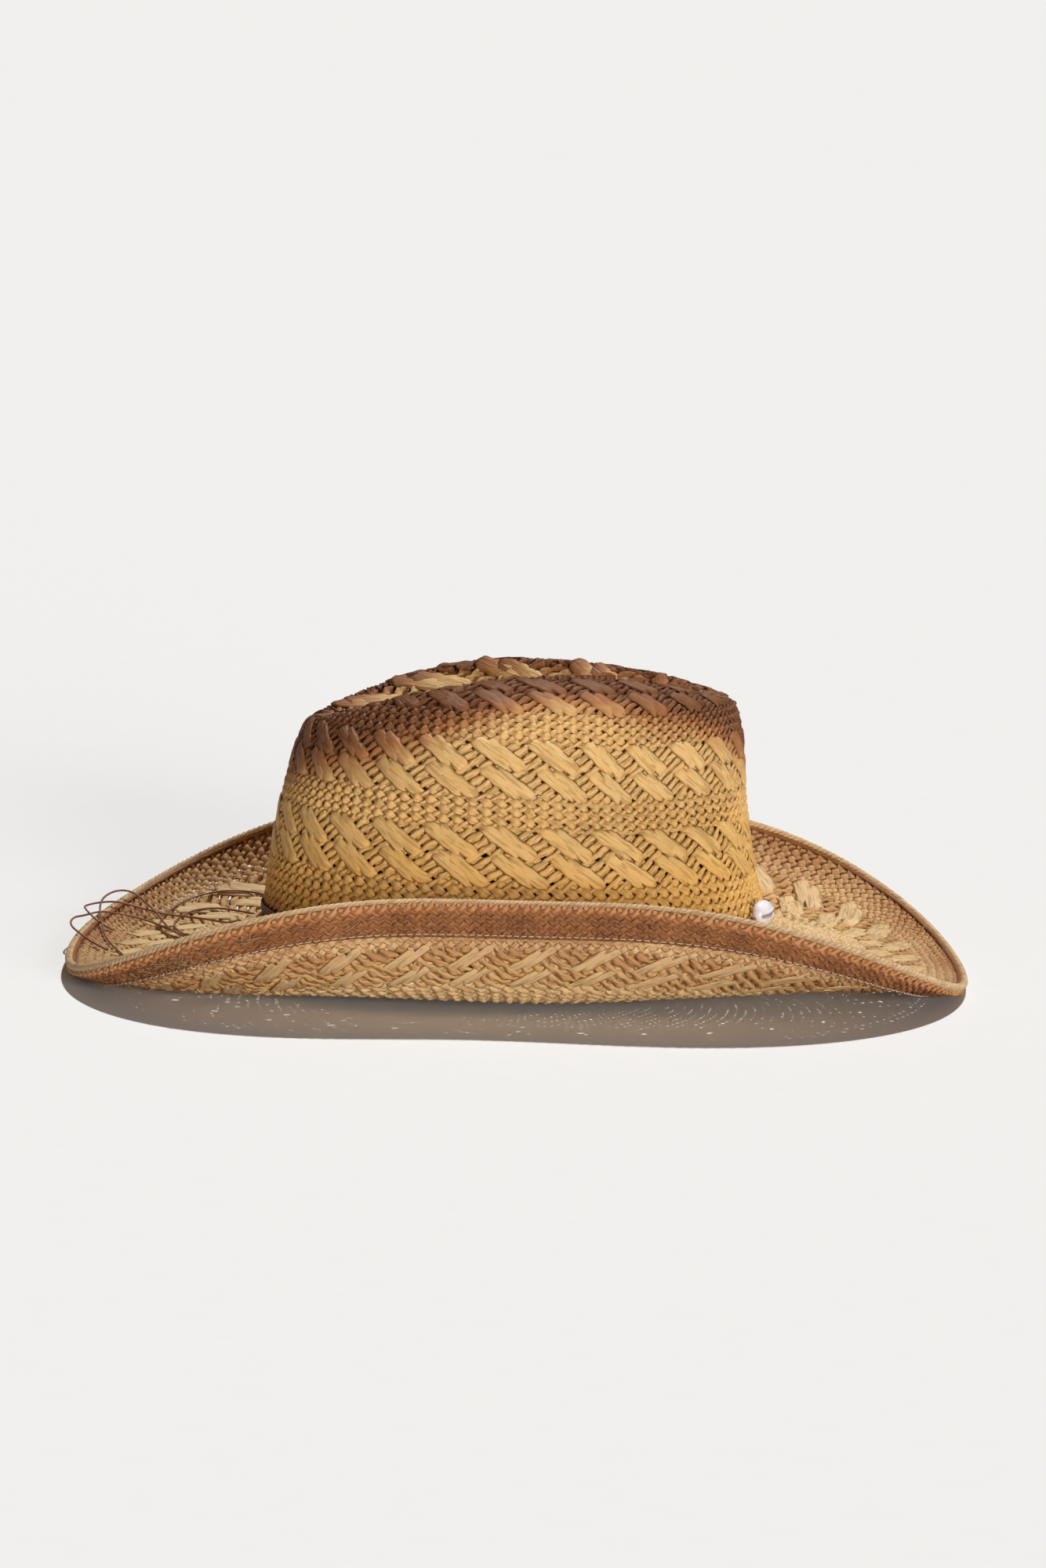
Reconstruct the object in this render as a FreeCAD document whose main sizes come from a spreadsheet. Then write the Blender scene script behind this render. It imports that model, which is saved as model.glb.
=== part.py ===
import FreeCAD, Part
import math
import os

# Woven straw cowboy hat, millimetres.  +X is the front of the hat, +Y its left side as worn, +Z up.
# The origin lies on the table under the middle of the hat, which stands on the tips of its brim.
# One oval, the line where the brim leaves the crown, carries every other shape.  A place on the
# hat is given by a turn round that oval (0 at the front, a quarter turn at the left side) and
# then by a distance up the crown or out along the brim.

DIMENSIONS = {
    # oval of the crown's foot, at the middle of the straw's thickness
    "oval_half_length": 104.0, "oval_half_width": 87.0, "oval_centre_x": -1.0,
    "straw_thickness": 2.4,
    # brim: width along the straw, slope at the crown and at the edge, height of its inner line
    "brim_width_front": 84.0, "brim_width_back": 82.5, "brim_width_side": 79.0,
    "slope_in_front": -26.0, "slope_in_back": -37.0, "slope_in_side": -21.3,
    "slope_out_front": -4.0, "slope_out_back": 16.0, "slope_out_side": 95.7,
    "foot_height_front": 24.5, "foot_height_back": 20.2, "foot_height_side": 8.05,
    "roll_power_front": 2.17, "roll_power_back": 3.05,
    "corner_extra_front": 15.6, "corner_extra_back": 21.8,
    # crown: height and crest of the ridges, the wall's taper and how far it is hollow in front
    # and full behind, the crease, and the dents at the sides
    "ridge_height": 125.0, "ridge_crest_x": 15.0, "ridge_fall": 0.00224,
    "ridge_half_length": 86.0, "wall_taper": 12.5,
    "wall_hollow_front": 4.4, "wall_hollow_back": -1.6, "wall_hollow_rise": 0.75,
    "ridge_half_width_front": 22.0, "ridge_half_width_back": 51.0,
    "pinch_centre": -0.02, "pinch_softness": 0.16,
    "crease_depth": 17.0, "crease_centre_x": -6.0,
    "dent_depth": 9.0, "dent_turn": 58.0, "dent_spread": 27.0,
    "dent_level": 0.62, "dent_rise": 0.22,
    # turned hem of the brim with the wire in its fold
    "hem_width": 12.0, "hem_thickness": 1.3, "hem_lip": 2.2, "hem_fold": 0.4,
    "hem_corner": 0.9, "hem_stitch_inset": 1.6,
    "wire_diameter": 1.0, "joiner_length": 14.0, "joiner_diameter": 1.8, "joiner_clearance": 0.15,
    # sweatband, the patch over its join, and its label
    "sweatband_start": 0.6, "sweatband_height": 28.0, "sweatband_thickness": 0.9,
    "sweatband_stitch_height": 3.0, "thread_diameter": 0.5,
    "patch_start": 4.2, "patch_width": 14.0, "patch_thickness": 0.6, "patch_lift": 0.3,
    "label_width": 22.0, "label_height": 11.0, "label_thickness": 0.4, "label_lift": 0.2,
    "label_raise": 2.0, "label_from_back": 20.6,
    # hatband of waxed cord, its knots and its shell
    "cord_diameter": 0.9, "turn_spacing": 1.1, "lowest_turn": 3.4, "turn_clearance": 0.35,
    "shell_length": 17.0, "shell_height": 11.0, "shell_depth": 8.0,
    "shell_flat": 2.0, "shell_raise": 0.6, "shell_stand_off": 1.3, "slit_width": 1.4, "slit_depth": 1.2,
    "knot_coil_radius": 1.5, "knot_cord_radius": 0.55, "knot_coil_spacing": 1.8,
    "knot_height": 2.0, "knot_stand_off": 0.7,
    "small_knot_radius": 0.9, "small_knot_cord": 0.5, "small_knot_gap": 0.4,
}

document = FreeCAD.newDocument("CowboyHat")
sheet = document.addObject("Spreadsheet::Sheet", "Dimensions")
for row, (alias, value) in enumerate(DIMENSIONS.items(), start=1):
    sheet.set("A%d" % row, alias)
    sheet.set("B%d" % row, str(value))
    sheet.setAlias("B%d" % row, alias)
document.recompute()


def size(alias):
    """The value of one cell of the sheet of dimensions."""
    return float(sheet.get(alias))


# ---------------------------------------------------------------- shape of the hat

FULL_TURN = 2.0 * math.pi
HALF_STRAW = size("straw_thickness") / 2.0
GAP = 0.3          # clearance between neighbouring pieces
SLACK = 0.1        # clearance between pieces that are sewn together


def oval(turn, out):
    """A point in plan, a given distance outside the oval of the crown's foot."""
    a = size("oval_half_length")
    b = size("oval_half_width")
    normal = FreeCAD.Vector(math.cos(turn) / a, math.sin(turn) / b, 0.0).normalize()
    foot = FreeCAD.Vector(a * math.cos(turn) + size("oval_centre_x"), b * math.sin(turn), 0.0)
    return foot + normal * out


def round_the_hat(name, turn):
    """A dimension that changes from the front or the back of the hat to its sides."""
    end = "front" if math.cos(turn) > 0.0 else "back"
    sideways = abs(math.sin(turn)) ** size("roll_power_" + end)
    return size(name + "_" + end) * (1.0 - sideways) + size(name + "_side") * sideways


def foot_height(turn):
    """Height of the line where the brim leaves the crown."""
    return round_the_hat("foot_height", turn)


def brim_width(turn):
    """Width of the brim, measured along the straw."""
    end = "front" if math.cos(turn) > 0.0 else "back"
    corner = math.sin(2.0 * turn) ** 2
    return round_the_hat("brim_width", turn) + size("corner_extra_" + end) * corner


def brim_point(turn, along, above):
    """A point of the brim: along the straw from the crown, and above its middle layer.

    The brim's section is a circular arc, from the slope at the crown to the slope at the edge.
    """
    start = math.radians(round_the_hat("slope_in", turn))
    stop = math.radians(round_the_hat("slope_out", turn))
    curl = (stop - start) / brim_width(turn)
    slope = start + curl * along
    out = (math.sin(slope) - math.sin(start)) / curl - above * math.sin(slope)
    rise = (math.cos(start) - math.cos(slope)) / curl + above * math.cos(slope)
    return oval(turn, out) + FreeCAD.Vector(0.0, 0.0, foot_height(turn) + rise)


def ridge_height(x):
    """Height of the crown's ridges, highest a little in front of the middle."""
    return size("ridge_height") - size("ridge_fall") * (x - size("ridge_crest_x")) ** 2


def ridge_point(turn):
    """A point of the ridge round the crease: a teardrop, wide behind and pinched in front."""
    front = size("ridge_half_width_front")
    back = size("ridge_half_width_back")
    lean = (math.cos(turn) - size("pinch_centre")) / size("pinch_softness")
    half_width = front + (back - front) / (1.0 + math.exp(lean))
    x = size("ridge_half_length") * math.cos(turn) + size("oval_centre_x")
    return FreeCAD.Vector(x, half_width * math.sin(turn), ridge_height(x))


def crown_middle(turn, level):
    """The middle layer of the crown: level 0 at its foot, 1 at the ridge, 2 in the crease."""
    ridge = ridge_point(turn)
    if level > 1.0:
        centre = FreeCAD.Vector(size("crease_centre_x"), 0.0, 0.0)
        reach = 2.0 - level
        plan = centre + (FreeCAD.Vector(ridge.x, ridge.y, 0.0) - centre) * reach
        sag = size("crease_depth") * (1.0 - reach ** 4) ** 1.5
        return FreeCAD.Vector(plan.x, plan.y, ridge_height(plan.x) - sag)
    degrees = math.degrees(math.atan2(math.sin(turn), math.cos(turn)))
    beside = math.exp(-((abs(degrees) - size("dent_turn")) / size("dent_spread")) ** 2)
    upward = math.exp(-((level - size("dent_level")) / size("dent_rise")) ** 2)
    dent = size("dent_depth") * beside * upward
    frontal = (1.0 + math.cos(turn)) / 2.0
    hollow = size("wall_hollow_back") * (1.0 - frontal) + size("wall_hollow_front") * frontal
    hollow *= math.sin(math.pi * max(level, 0.0) ** size("wall_hollow_rise"))
    wall = oval(turn, -size("wall_taper") * level - dent - hollow)
    boxiness = 5.0 - 2.2 * beside
    roll = 1.0 - math.sqrt(max(0.0, 1.0 - level ** boxiness))
    tapered = oval(turn, -size("wall_taper"))
    plan = wall + (FreeCAD.Vector(ridge.x, ridge.y, 0.0) - tapered) * roll
    height = foot_height(turn) + (ridge.z - foot_height(turn)) * level
    return FreeCAD.Vector(plan.x, plan.y, height)


def crown_point(turn, level, outward):
    """A point of the crown, a distance outside its middle layer."""
    step = 0.002
    if abs(level - 1.0) < step:
        normal = FreeCAD.Vector(0.0, 0.0, 1.0)
    else:
        low = max(level - step, 0.0)
        around = crown_middle(turn + step, level) - crown_middle(turn - step, level)
        upward = crown_middle(turn, level + step) - crown_middle(turn, low)
        normal = around.cross(upward).normalize()
    return crown_middle(turn, level) + normal * outward


# ---------------------------------------------------------------- helpers for solids

def closed_wire(point_at, count=64):
    """A smooth closed wire through points taken at even turns round the hat."""
    curve = Part.BSplineCurve()
    points = [point_at(FULL_TURN * k / count) for k in range(count)]
    curve.interpolate(Points=points, PeriodicFlag=True)
    return Part.Wire([curve.toShape()])


def solid_of(faces):
    """One solid from faces that meet along their edges."""
    shell = Part.Shell(faces)
    shell.sewShape()
    solid = Part.Solid(shell)
    if solid.Volume < 0.0:
        solid.reverse()
    return solid


def ring_solid(corners, count=64):
    """A ring round the hat whose section is a polygon; each corner is a function of the turn."""
    wires = [closed_wire(corner, count) for corner in corners]
    faces = []
    for wire, following in zip(wires, wires[1:] + wires[:1]):
        faces += Part.makeRuledSurface(wire, following).Faces
    return solid_of(faces)


def round_corners(middle, radius, sides=8):
    """Corner functions of a ring of round section; middle(turn, out, up) gives its places."""
    corners = []
    for k in range(sides):
        angle = FULL_TURN * k / sides
        out = radius * math.cos(angle)
        up = radius * math.sin(angle)
        corners.append(lambda turn, out=out, up=up: middle(turn, out, up))
    return corners


def skin_solid(outer_rows, inner_rows, count=64):
    """A wall between two smooth skins, each lofted through rows that go round the hat."""
    outer = [closed_wire(row, count) for row in outer_rows]
    inner = [closed_wire(row, count) for row in inner_rows]
    faces = []
    faces += Part.makeLoft(outer, False, False).Faces
    faces += Part.makeLoft(inner, False, False).Faces
    faces += Part.makeRuledSurface(outer[0], inner[0]).Faces
    faces += Part.makeRuledSurface(outer[-1], inner[-1]).Faces
    return solid_of(faces)


def add_shape(label, shape, centre=None):
    """A free-form sub-part: its shape first, then its placement."""
    piece = document.addObject("Part::Feature", label)
    piece.Label = label
    piece.Shape = shape
    if centre is not None:
        piece.Placement = FreeCAD.Placement(centre, FreeCAD.Rotation())
    return piece


def bind(piece, **expressions):
    """Bind properties of a piece to cells of the sheet."""
    for name, expression in expressions.items():
        piece.setExpression(name, expression)


SUB_PARTS = []


# ---------------------------------------------------------------- woven body

def make_crown_side():
    """The wall of the crown, from its foot up to the ridge."""
    levels = [0.0, 0.14, 0.28, 0.42, 0.56, 0.68, 0.78, 0.86, 0.92, 0.96, 0.985, 1.0]
    outer = [lambda turn, level=level: crown_point(turn, level, HALF_STRAW) for level in levels]
    inner = [lambda turn, level=level: crown_point(turn, level, -HALF_STRAW) for level in levels]
    SUB_PARTS.append(add_shape("crown_side", skin_solid(outer, inner, 72)))


def make_crown_tip():
    """The top of the crown inside the ridge, sunk into a teardrop crease."""
    levels = [1.022, 1.06, 1.12, 1.22, 1.35, 1.5, 1.68, 1.85, 1.97]

    def layer(level, above):
        shift = FreeCAD.Vector(0.0, 0.0, above)
        return lambda turn: crown_middle(turn, level) + shift

    upper = [closed_wire(layer(level, HALF_STRAW), 72) for level in levels]
    lower = [closed_wire(layer(level, -HALF_STRAW), 72) for level in levels]
    faces = []
    faces += Part.makeLoft(upper, False, False).Faces
    faces += Part.makeLoft(lower, False, False).Faces
    faces += Part.makeRuledSurface(upper[0], lower[0]).Faces
    for row in (upper[-1], lower[-1]):
        faces += Part.makeFilledFace(row.Edges).Faces
    SUB_PARTS.append(add_shape("crown_tip", solid_of(faces)))


def make_brim():
    """The brim, from just outside the crown's foot to the fold of the hem."""
    shares = [0.0, 0.1, 0.22, 0.35, 0.48, 0.61, 0.74, 0.87, 1.0]
    start = HALF_STRAW + 2.0 * GAP
    end_margin = size("wire_diameter") + 2.0 * GAP

    def layer(share, above):
        def point(turn):
            along = start + (brim_width(turn) - end_margin - start) * share
            return brim_point(turn, along, above)
        return point

    outer = [layer(share, HALF_STRAW) for share in shares]
    inner = [layer(share, -HALF_STRAW) for share in shares]
    SUB_PARTS.append(add_shape("brim", skin_solid(outer, inner, 96)))


def make_brim_hem():
    """The turned edge: a strip under the brim that wraps round the edge and its wire."""
    inside = HALF_STRAW + SLACK
    outside = inside + size("hem_thickness")
    fold = size("hem_fold")
    corner = size("hem_corner")
    edge = fold + size("hem_thickness")
    lip = size("hem_lip")
    strip = [-size("hem_width") * share for share in (0.0, 0.25, 0.5, 0.75, 1.0)]
    section = [(out, -inside) for out in strip] + [(out, -outside) for out in reversed(strip)]
    section += [
        (edge - corner, -outside), (edge, -outside + corner),
        (edge, outside - corner), (edge - corner, outside),
        (-lip, outside), (-lip, inside), (fold, inside), (fold, -inside),
    ]
    corners = [
        lambda turn, out=out, above=above: brim_point(turn, brim_width(turn) + out, above)
        for out, above in section
    ]
    SUB_PARTS.append(add_shape("brim_hem", ring_solid(corners, 96)))


def edge_place(turn, out, up):
    """A place in the fold of the hem, where the wire lies."""
    inset = size("wire_diameter") / 2.0 + SLACK
    return brim_point(turn, brim_width(turn) - inset + out, up)


def make_brim_wire():
    """The thin wire that keeps the rolled brim in shape, closed by a crimped joiner."""
    corners = round_corners(edge_place, size("wire_diameter") / 2.0)
    SUB_PARTS.append(add_shape("brim_wire", ring_solid(corners, 96)))


def make_brim_wire_joiner():
    """The crimped tube over the wire's two ends, at the back tip of the brim."""
    outer = document.addObject("Part::Cylinder", "joiner_outside")
    bind(outer, Radius="Dimensions.joiner_diameter / 2", Height="Dimensions.joiner_length")
    bore = document.addObject("Part::Cylinder", "joiner_bore")
    bind(bore, Radius="Dimensions.wire_diameter / 2 + Dimensions.joiner_clearance",
         Height="Dimensions.joiner_length")
    tube = document.addObject("Part::Cut", "brim_wire_joiner")
    tube.Label = "brim_wire_joiner"
    tube.Base = outer
    tube.Tool = bore
    middle = edge_place(math.pi, 0.0, 0.0)
    start = middle - FreeCAD.Vector(0.0, size("joiner_length") / 2.0, 0.0)
    across = FreeCAD.Rotation(FreeCAD.Vector(1.0, 0.0, 0.0), -90.0)
    tube.Placement = FreeCAD.Placement(start, across)
    SUB_PARTS.append(tube)


def make_hem_stitching():
    """The row of machine stitches that holds the hem, on its under side."""
    radius = size("thread_diameter") / 2.0
    below = -(HALF_STRAW + SLACK + size("hem_thickness") + radius + SLACK / 2.0)
    inset = size("hem_width") - size("hem_stitch_inset")

    def place(turn, out, up):
        return brim_point(turn, brim_width(turn) - inset + out, below + up)

    SUB_PARTS.append(add_shape("hem_stitching", ring_solid(round_corners(place, radius, 6), 96)))


# ---------------------------------------------------------------- sweatband

def level_at(turn, height):
    """The level of the crown's wall at a height above its foot."""
    return height / (ridge_point(turn).z - foot_height(turn))


def make_sweatband():
    """The ribbon inside the crown's foot, sewn along its lower edge."""
    near = -(HALF_STRAW + GAP)
    far = near - size("sweatband_thickness")
    low = size("sweatband_start")
    tall = size("sweatband_height")
    section = [
        (low, near), (tall / 2.0, near), (tall, near),
        (tall, far), (tall / 2.0, far), (low, far),
    ]
    corners = [
        lambda turn, up=up, out=out: crown_point(turn, level_at(turn, up), out)
        for up, out in section
    ]
    SUB_PARTS.append(add_shape("sweatband", ring_solid(corners)))


def inside_place(turn, up, inward):
    """A place on the inner side of the sweatband."""
    surface = -(HALF_STRAW + GAP + size("sweatband_thickness"))
    return crown_point(turn, level_at(turn, up), surface - inward)


def make_sweatband_stitching():
    """The row of stitches along the sweatband's lower edge."""
    radius = size("thread_diameter") / 2.0
    height = size("sweatband_stitch_height")

    def place(turn, out, up):
        return inside_place(turn, height + up, radius + GAP - out)

    corners = round_corners(place, radius, 6)
    SUB_PARTS.append(add_shape("sweatband_stitching", ring_solid(corners)))


def arc_per_turn(turn):
    """Length of the oval for a small turn, near a place on it."""
    a = size("oval_half_length")
    b = size("oval_half_width")
    return math.hypot(a * math.sin(turn), b * math.cos(turn))


def patch_on_sweatband(label, centre_turn, width, low, high, thickness, lift):
    """A thin rectangle of cloth that follows the sweatband's inner side."""
    half_turn = width / 2.0 / arc_per_turn(centre_turn)
    turns = [centre_turn + half_turn * share for share in (-1.0, -0.5, 0.0, 0.5, 1.0)]
    edges = []
    for up, inward in ((low, lift), (high, lift), (high, lift + thickness), (low, lift + thickness)):
        curve = Part.BSplineCurve()
        curve.interpolate([inside_place(turn, up, inward) for turn in turns])
        edges.append(curve.toShape())
    faces = []
    for edge, after in zip(edges, edges[1:] + edges[:1]):
        faces.append(Part.makeRuledSurface(edge, after))
    for end in (0, 1):
        corners = [edge.Vertexes[end].Point for edge in edges]
        sides = [Part.makeLine(corners[0], corners[1]), Part.makeLine(corners[3], corners[2])]
        faces.append(Part.makeRuledSurface(sides[0], sides[1]))
    SUB_PARTS.append(add_shape(label, solid_of(faces)))


def make_sweatband_patch():
    """The piece of ribbon over the join of the sweatband, at the back."""
    high = size("sweatband_height") - size("sweatband_start")
    patch_on_sweatband("sweatband_join_patch", math.pi, size("patch_width"), size("patch_start"),
                       high, size("patch_thickness"), size("patch_lift"))


def make_size_label():
    """The blank woven label beside the join."""
    middle = math.pi + math.radians(size("label_from_back"))
    low = (size("sweatband_height") - size("label_height")) / 2.0 + size("label_raise")
    patch_on_sweatband("size_label", middle, size("label_width"), low,
                       low + size("label_height"), size("label_thickness"), size("label_lift"))


# ---------------------------------------------------------------- hatband of waxed cord

CORD_RADIUS = size("cord_diameter") / 2.0
TURN_OUT = HALF_STRAW + size("turn_clearance") + CORD_RADIUS
BAND_FACE = TURN_OUT + CORD_RADIUS      # outer side of the cords that go round the crown
SHELL_TURN = -0.30
SHELL_UP = size("lowest_turn") + size("turn_spacing") + size("shell_raise")


def band_place(turn, up, out):
    """A place beside the crown's wall, a height above its foot."""
    return crown_point(turn, level_at(turn, up), out)


def band_rotation(turn):
    """The rotation that lays a piece's long axis, Z, along the band and its X outward."""
    ahead = oval(turn + 0.01, 0.0) - oval(turn - 0.01, 0.0)
    outward = oval(turn, 1.0) - oval(turn, 0.0)
    return FreeCAD.Rotation(outward, FreeCAD.Vector(), ahead, "ZXY")


def make_hatband_turns():
    """Three turns of the cord, one above the other, round the foot of the crown."""
    for k, label in enumerate(("lower", "middle", "upper")):
        height = size("lowest_turn") + size("turn_spacing") * k

        def place(turn, out, up, height=height):
            return band_place(turn, height + up, TURN_OUT + out)

        corners = round_corners(place, CORD_RADIUS)
        SUB_PARTS.append(add_shape("hatband_turn_" + label, ring_solid(corners)))


def make_barrel_knot(label, turn, coils=5):
    """A slip knot: coils of the cord side by side round a core, against the band's turns."""
    core = document.addObject("Part::Cylinder", label + "_core")
    bind(core, Radius="Dimensions.knot_coil_radius",
         Height="Dimensions.knot_coil_spacing * %d" % coils)
    rings = []
    for k in range(coils):
        ring = document.addObject("Part::Torus", "%s_coil_%d" % (label, k))
        bind(ring, Radius1="Dimensions.knot_coil_radius", Radius2="Dimensions.knot_cord_radius")
        ring.setExpression("Placement.Base.z",
                           "Dimensions.knot_coil_spacing * %.1f" % (k + 0.5))
        rings.append(ring)
    knot = document.addObject("Part::MultiFuse", label)
    knot.Label = label
    knot.Shapes = [core] + rings
    reach = size("knot_coil_radius") + size("knot_cord_radius")
    stand_off = BAND_FACE + reach + size("knot_stand_off")
    centre = band_place(turn, size("knot_height"), stand_off)
    rotation = band_rotation(turn)
    half = FreeCAD.Vector(0.0, 0.0, size("knot_coil_spacing") * coils / 2.0)
    knot.Placement = FreeCAD.Placement(centre - rotation.multVec(half), rotation)
    SUB_PARTS.append(knot)


def make_cowrie_shell():
    """The cowrie on the front of the band, flat behind and slit along its outer face."""
    body = document.addObject("Part::Ellipsoid", "shell_body")
    bind(body, Radius1="Dimensions.shell_length / 2", Radius2="Dimensions.shell_depth / 2",
         Radius3="Dimensions.shell_height / 2")
    back = document.addObject("Part::Box", "shell_back")
    bind(back, Length="Dimensions.shell_depth", Width="Dimensions.shell_height * 2",
         Height="Dimensions.shell_length * 2")
    back.setExpression("Placement.Base.x",
                       "-Dimensions.shell_depth / 2 - Dimensions.shell_depth + "
                       "Dimensions.shell_flat")
    back.setExpression("Placement.Base.y", "-Dimensions.shell_height")
    back.setExpression("Placement.Base.z", "-Dimensions.shell_length")
    slit = document.addObject("Part::Box", "shell_slit")
    bind(slit, Length="Dimensions.slit_depth * 2", Width="Dimensions.slit_width",
         Height="Dimensions.shell_length * 0.7")
    slit.setExpression("Placement.Base.x", "Dimensions.shell_depth / 2 - Dimensions.slit_depth")
    slit.setExpression("Placement.Base.y", "-Dimensions.slit_width / 2")
    slit.setExpression("Placement.Base.z", "-Dimensions.shell_length * 0.35")
    cutters = document.addObject("Part::MultiFuse", "shell_cutters")
    cutters.Shapes = [back, slit]
    shell = document.addObject("Part::Cut", "cowrie_shell")
    shell.Label = "cowrie_shell"
    shell.Base = body
    shell.Tool = cutters

    behind = size("shell_depth") / 2.0 - size("shell_flat")
    centre = band_place(SHELL_TURN, SHELL_UP, BAND_FACE + behind + size("shell_stand_off"))
    shell.Placement = FreeCAD.Placement(centre, band_rotation(SHELL_TURN))
    SUB_PARTS.append(shell)


def make_shell_knot(label, side):
    """A small knot of thread beside the shell, closed round with one coil."""
    core = document.addObject("Part::Sphere", label + "_core")
    bind(core, Radius="Dimensions.small_knot_radius")
    ring = document.addObject("Part::Torus", label + "_coil")
    bind(ring, Radius1="Dimensions.small_knot_radius", Radius2="Dimensions.small_knot_cord")
    knot = document.addObject("Part::MultiFuse", label)
    knot.Label = label
    knot.Shapes = [core, ring]
    away = size("shell_length") / 2.0 + size("small_knot_gap")
    turn = SHELL_TURN + side * away / arc_per_turn(SHELL_TURN)
    reach = size("small_knot_radius") + size("small_knot_cord")
    centre = band_place(turn, SHELL_UP, BAND_FACE + reach + SLACK)
    knot.Placement = FreeCAD.Placement(centre, band_rotation(turn))
    SUB_PARTS.append(knot)


# Middle lines of the cords that hang from the knots and lie on the back of the brim.
CORD_ROUTES = {
    "hatband_tail_1": [
        (-99.5, -45.0, 21.4), (-103.5, -44.2, 19.1), (-110.5, -38.8, 16.1), (-121.0, -27.0, 12.6),
        (-131.0, -11.5, 10.1), (-139.0, 6.5, 8.0), (-146.0, 26.0, 6.6), (-151.5, 46.0, 6.3),
        (-156.0, 64.0, 7.4), (-162.5, 78.0, 10.1), (-169.5, 86.5, 13.8), (-176.0, 83.0, 14.7),
        (-180.5, 70.0, 13.7), (-180.5, 54.0, 11.8), (-177.5, 36.0, 8.5), (-174.0, 14.0, 6.0),
        (-167.0, -10.0, 5.0), (-158.5, -33.5, 4.1),
    ],
    "hatband_tail_2": [
        (-102.2, -40.3, 21.0), (-105.0, -35.5, 19.7), (-109.0, -26.0, 18.2), (-113.5, -9.0, 17.3),
        (-117.5, 14.0, 14.6), (-121.0, 36.0, 10.1), (-126.5, 56.0, 6.1), (-134.0, 69.0, 5.0),
        (-143.0, 72.5, 5.4), (-154.0, 73.5, 6.1), (-165.0, 76.0, 8.3), (-174.5, 74.5, 11.1),
        (-182.0, 64.0, 12.1), (-186.5, 51.0, 12.6), (-185.3, 41.0, 13.0), (-179.0, 37.0, 7.9),
        (-172.5, 33.5, 5.5),
    ],
    "hatband_tail_3": [
        (-100.2, -43.4, 20.7), (-104.5, -41.8, 17.8), (-112.0, -34.0, 15.3), (-122.0, -20.0, 12.7),
        (-132.0, -3.0, 9.9), (-140.0, 15.0, 7.4), (-146.5, 33.0, 5.5), (-152.5, 49.0, 4.8),
        (-160.0, 59.0, 5.6), (-171.0, 61.5, 7.8), (-180.0, 54.0, 10.0), (-185.2, 38.0, 10.5),
        (-188.0, 20.0, 12.6), (-187.9, 7.0, 11.6), (-182.5, -1.0, 9.2), (-176.0, -9.0, 6.7),
        (-169.5, -15.0, 5.1),
    ],
    "hatband_loop_1": [
        (-94.1, 52.0, 19.8), (-95.6, 58.0, 14.9), (-97.0, 71.0, 9.6), (-99.0, 88.0, 6.8),
        (-104.5, 103.0, 7.8), (-114.5, 111.0, 10.4), (-127.0, 112.0, 11.6), (-139.0, 106.5, 10.8),
        (-149.0, 95.0, 8.3), (-154.5, 78.0, 5.5), (-155.5, 60.0, 4.0), (-152.0, 42.0, 3.7),
        (-146.0, 24.0, 4.9), (-139.0, 6.0, 6.7), (-129.5, -13.0, 9.3), (-118.5, -29.5, 11.9),
        (-109.0, -41.0, 14.2), (-101.8, -46.4, 16.9), (-98.2, -46.3, 20.2),
    ],
    "hatband_loop_2": [
        (-96.5, 48.8, 19.8), (-100.0, 53.5, 14.6), (-105.0, 65.0, 9.1), (-112.0, 79.5, 5.8),
        (-122.0, 90.0, 5.6), (-133.0, 94.0, 6.4), (-142.5, 89.0, 6.1), (-148.0, 77.0, 4.7),
        (-149.5, 62.0, 3.7), (-146.0, 45.0, 3.9), (-141.0, 27.0, 5.4), (-135.0, 8.0, 7.7),
        (-126.0, -11.0, 10.6), (-116.0, -26.0, 13.6), (-108.5, -34.5, 15.8), (-103.8, -39.2, 17.7),
        (-100.7, -41.5, 19.8),
    ],
}


def cord_line(points):
    """The middle line of a cord: straight runs joined by arcs that touch both runs."""
    corners = [FreeCAD.Vector(*point) for point in points]
    edges = []
    radii = []
    start = corners[0]
    for before, corner, after in zip(corners, corners[1:], corners[2:]):
        arriving = (corner - before).normalize()
        leaving = (after - corner).normalize()
        half_turn = arriving.getAngle(leaving) / 2.0
        reach = 0.45 * min((corner - before).Length, (after - corner).Length)
        radius = reach / math.tan(half_turn)
        inward = (leaving - arriving).normalize()
        centre = corner + inward * (radius / math.cos(half_turn))
        first = corner - arriving * reach
        last = corner + leaving * reach
        edges.append(Part.LineSegment(start, first).toShape())
        edges.append(Part.Arc(first, centre - inward * radius, last).toShape())
        radii.append(radius)
        start = last
    edges.append(Part.LineSegment(start, corners[-1]).toShape())
    return Part.Wire(edges), radii


def make_cords():
    """The free ends and the loose loops of the cord, as round tubes."""
    section = math.pi * CORD_RADIUS ** 2
    for label, points in CORD_ROUTES.items():
        line, radii = cord_line(points)
        along = FreeCAD.Vector(*points[1]) - FreeCAD.Vector(*points[0])
        circle = Part.Circle(FreeCAD.Vector(*points[0]), along, CORD_RADIUS).toShape()
        tube = line.makePipeShell([Part.Wire([circle])], True, False)
        SUB_PARTS.append(add_shape(label, tube))
        print("%s length %.1f, smallest radius %.1f, volume over section times length %.4f"
              % (label, line.Length, min(radii), tube.Volume / (section * line.Length)))


make_crown_side()
make_crown_tip()
make_brim()
make_brim_hem()
make_brim_wire()
make_brim_wire_joiner()
make_hem_stitching()
make_sweatband()
make_sweatband_stitching()
make_sweatband_patch()
make_size_label()

make_hatband_turns()
make_barrel_knot("hatband_knot_right", math.radians(207.0))
make_barrel_knot("hatband_knot_left", math.radians(148.0))
make_cowrie_shell()
make_shell_knot("shell_knot_left", 1.0)
make_shell_knot("shell_knot_right", -1.0)
make_cords()

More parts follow.
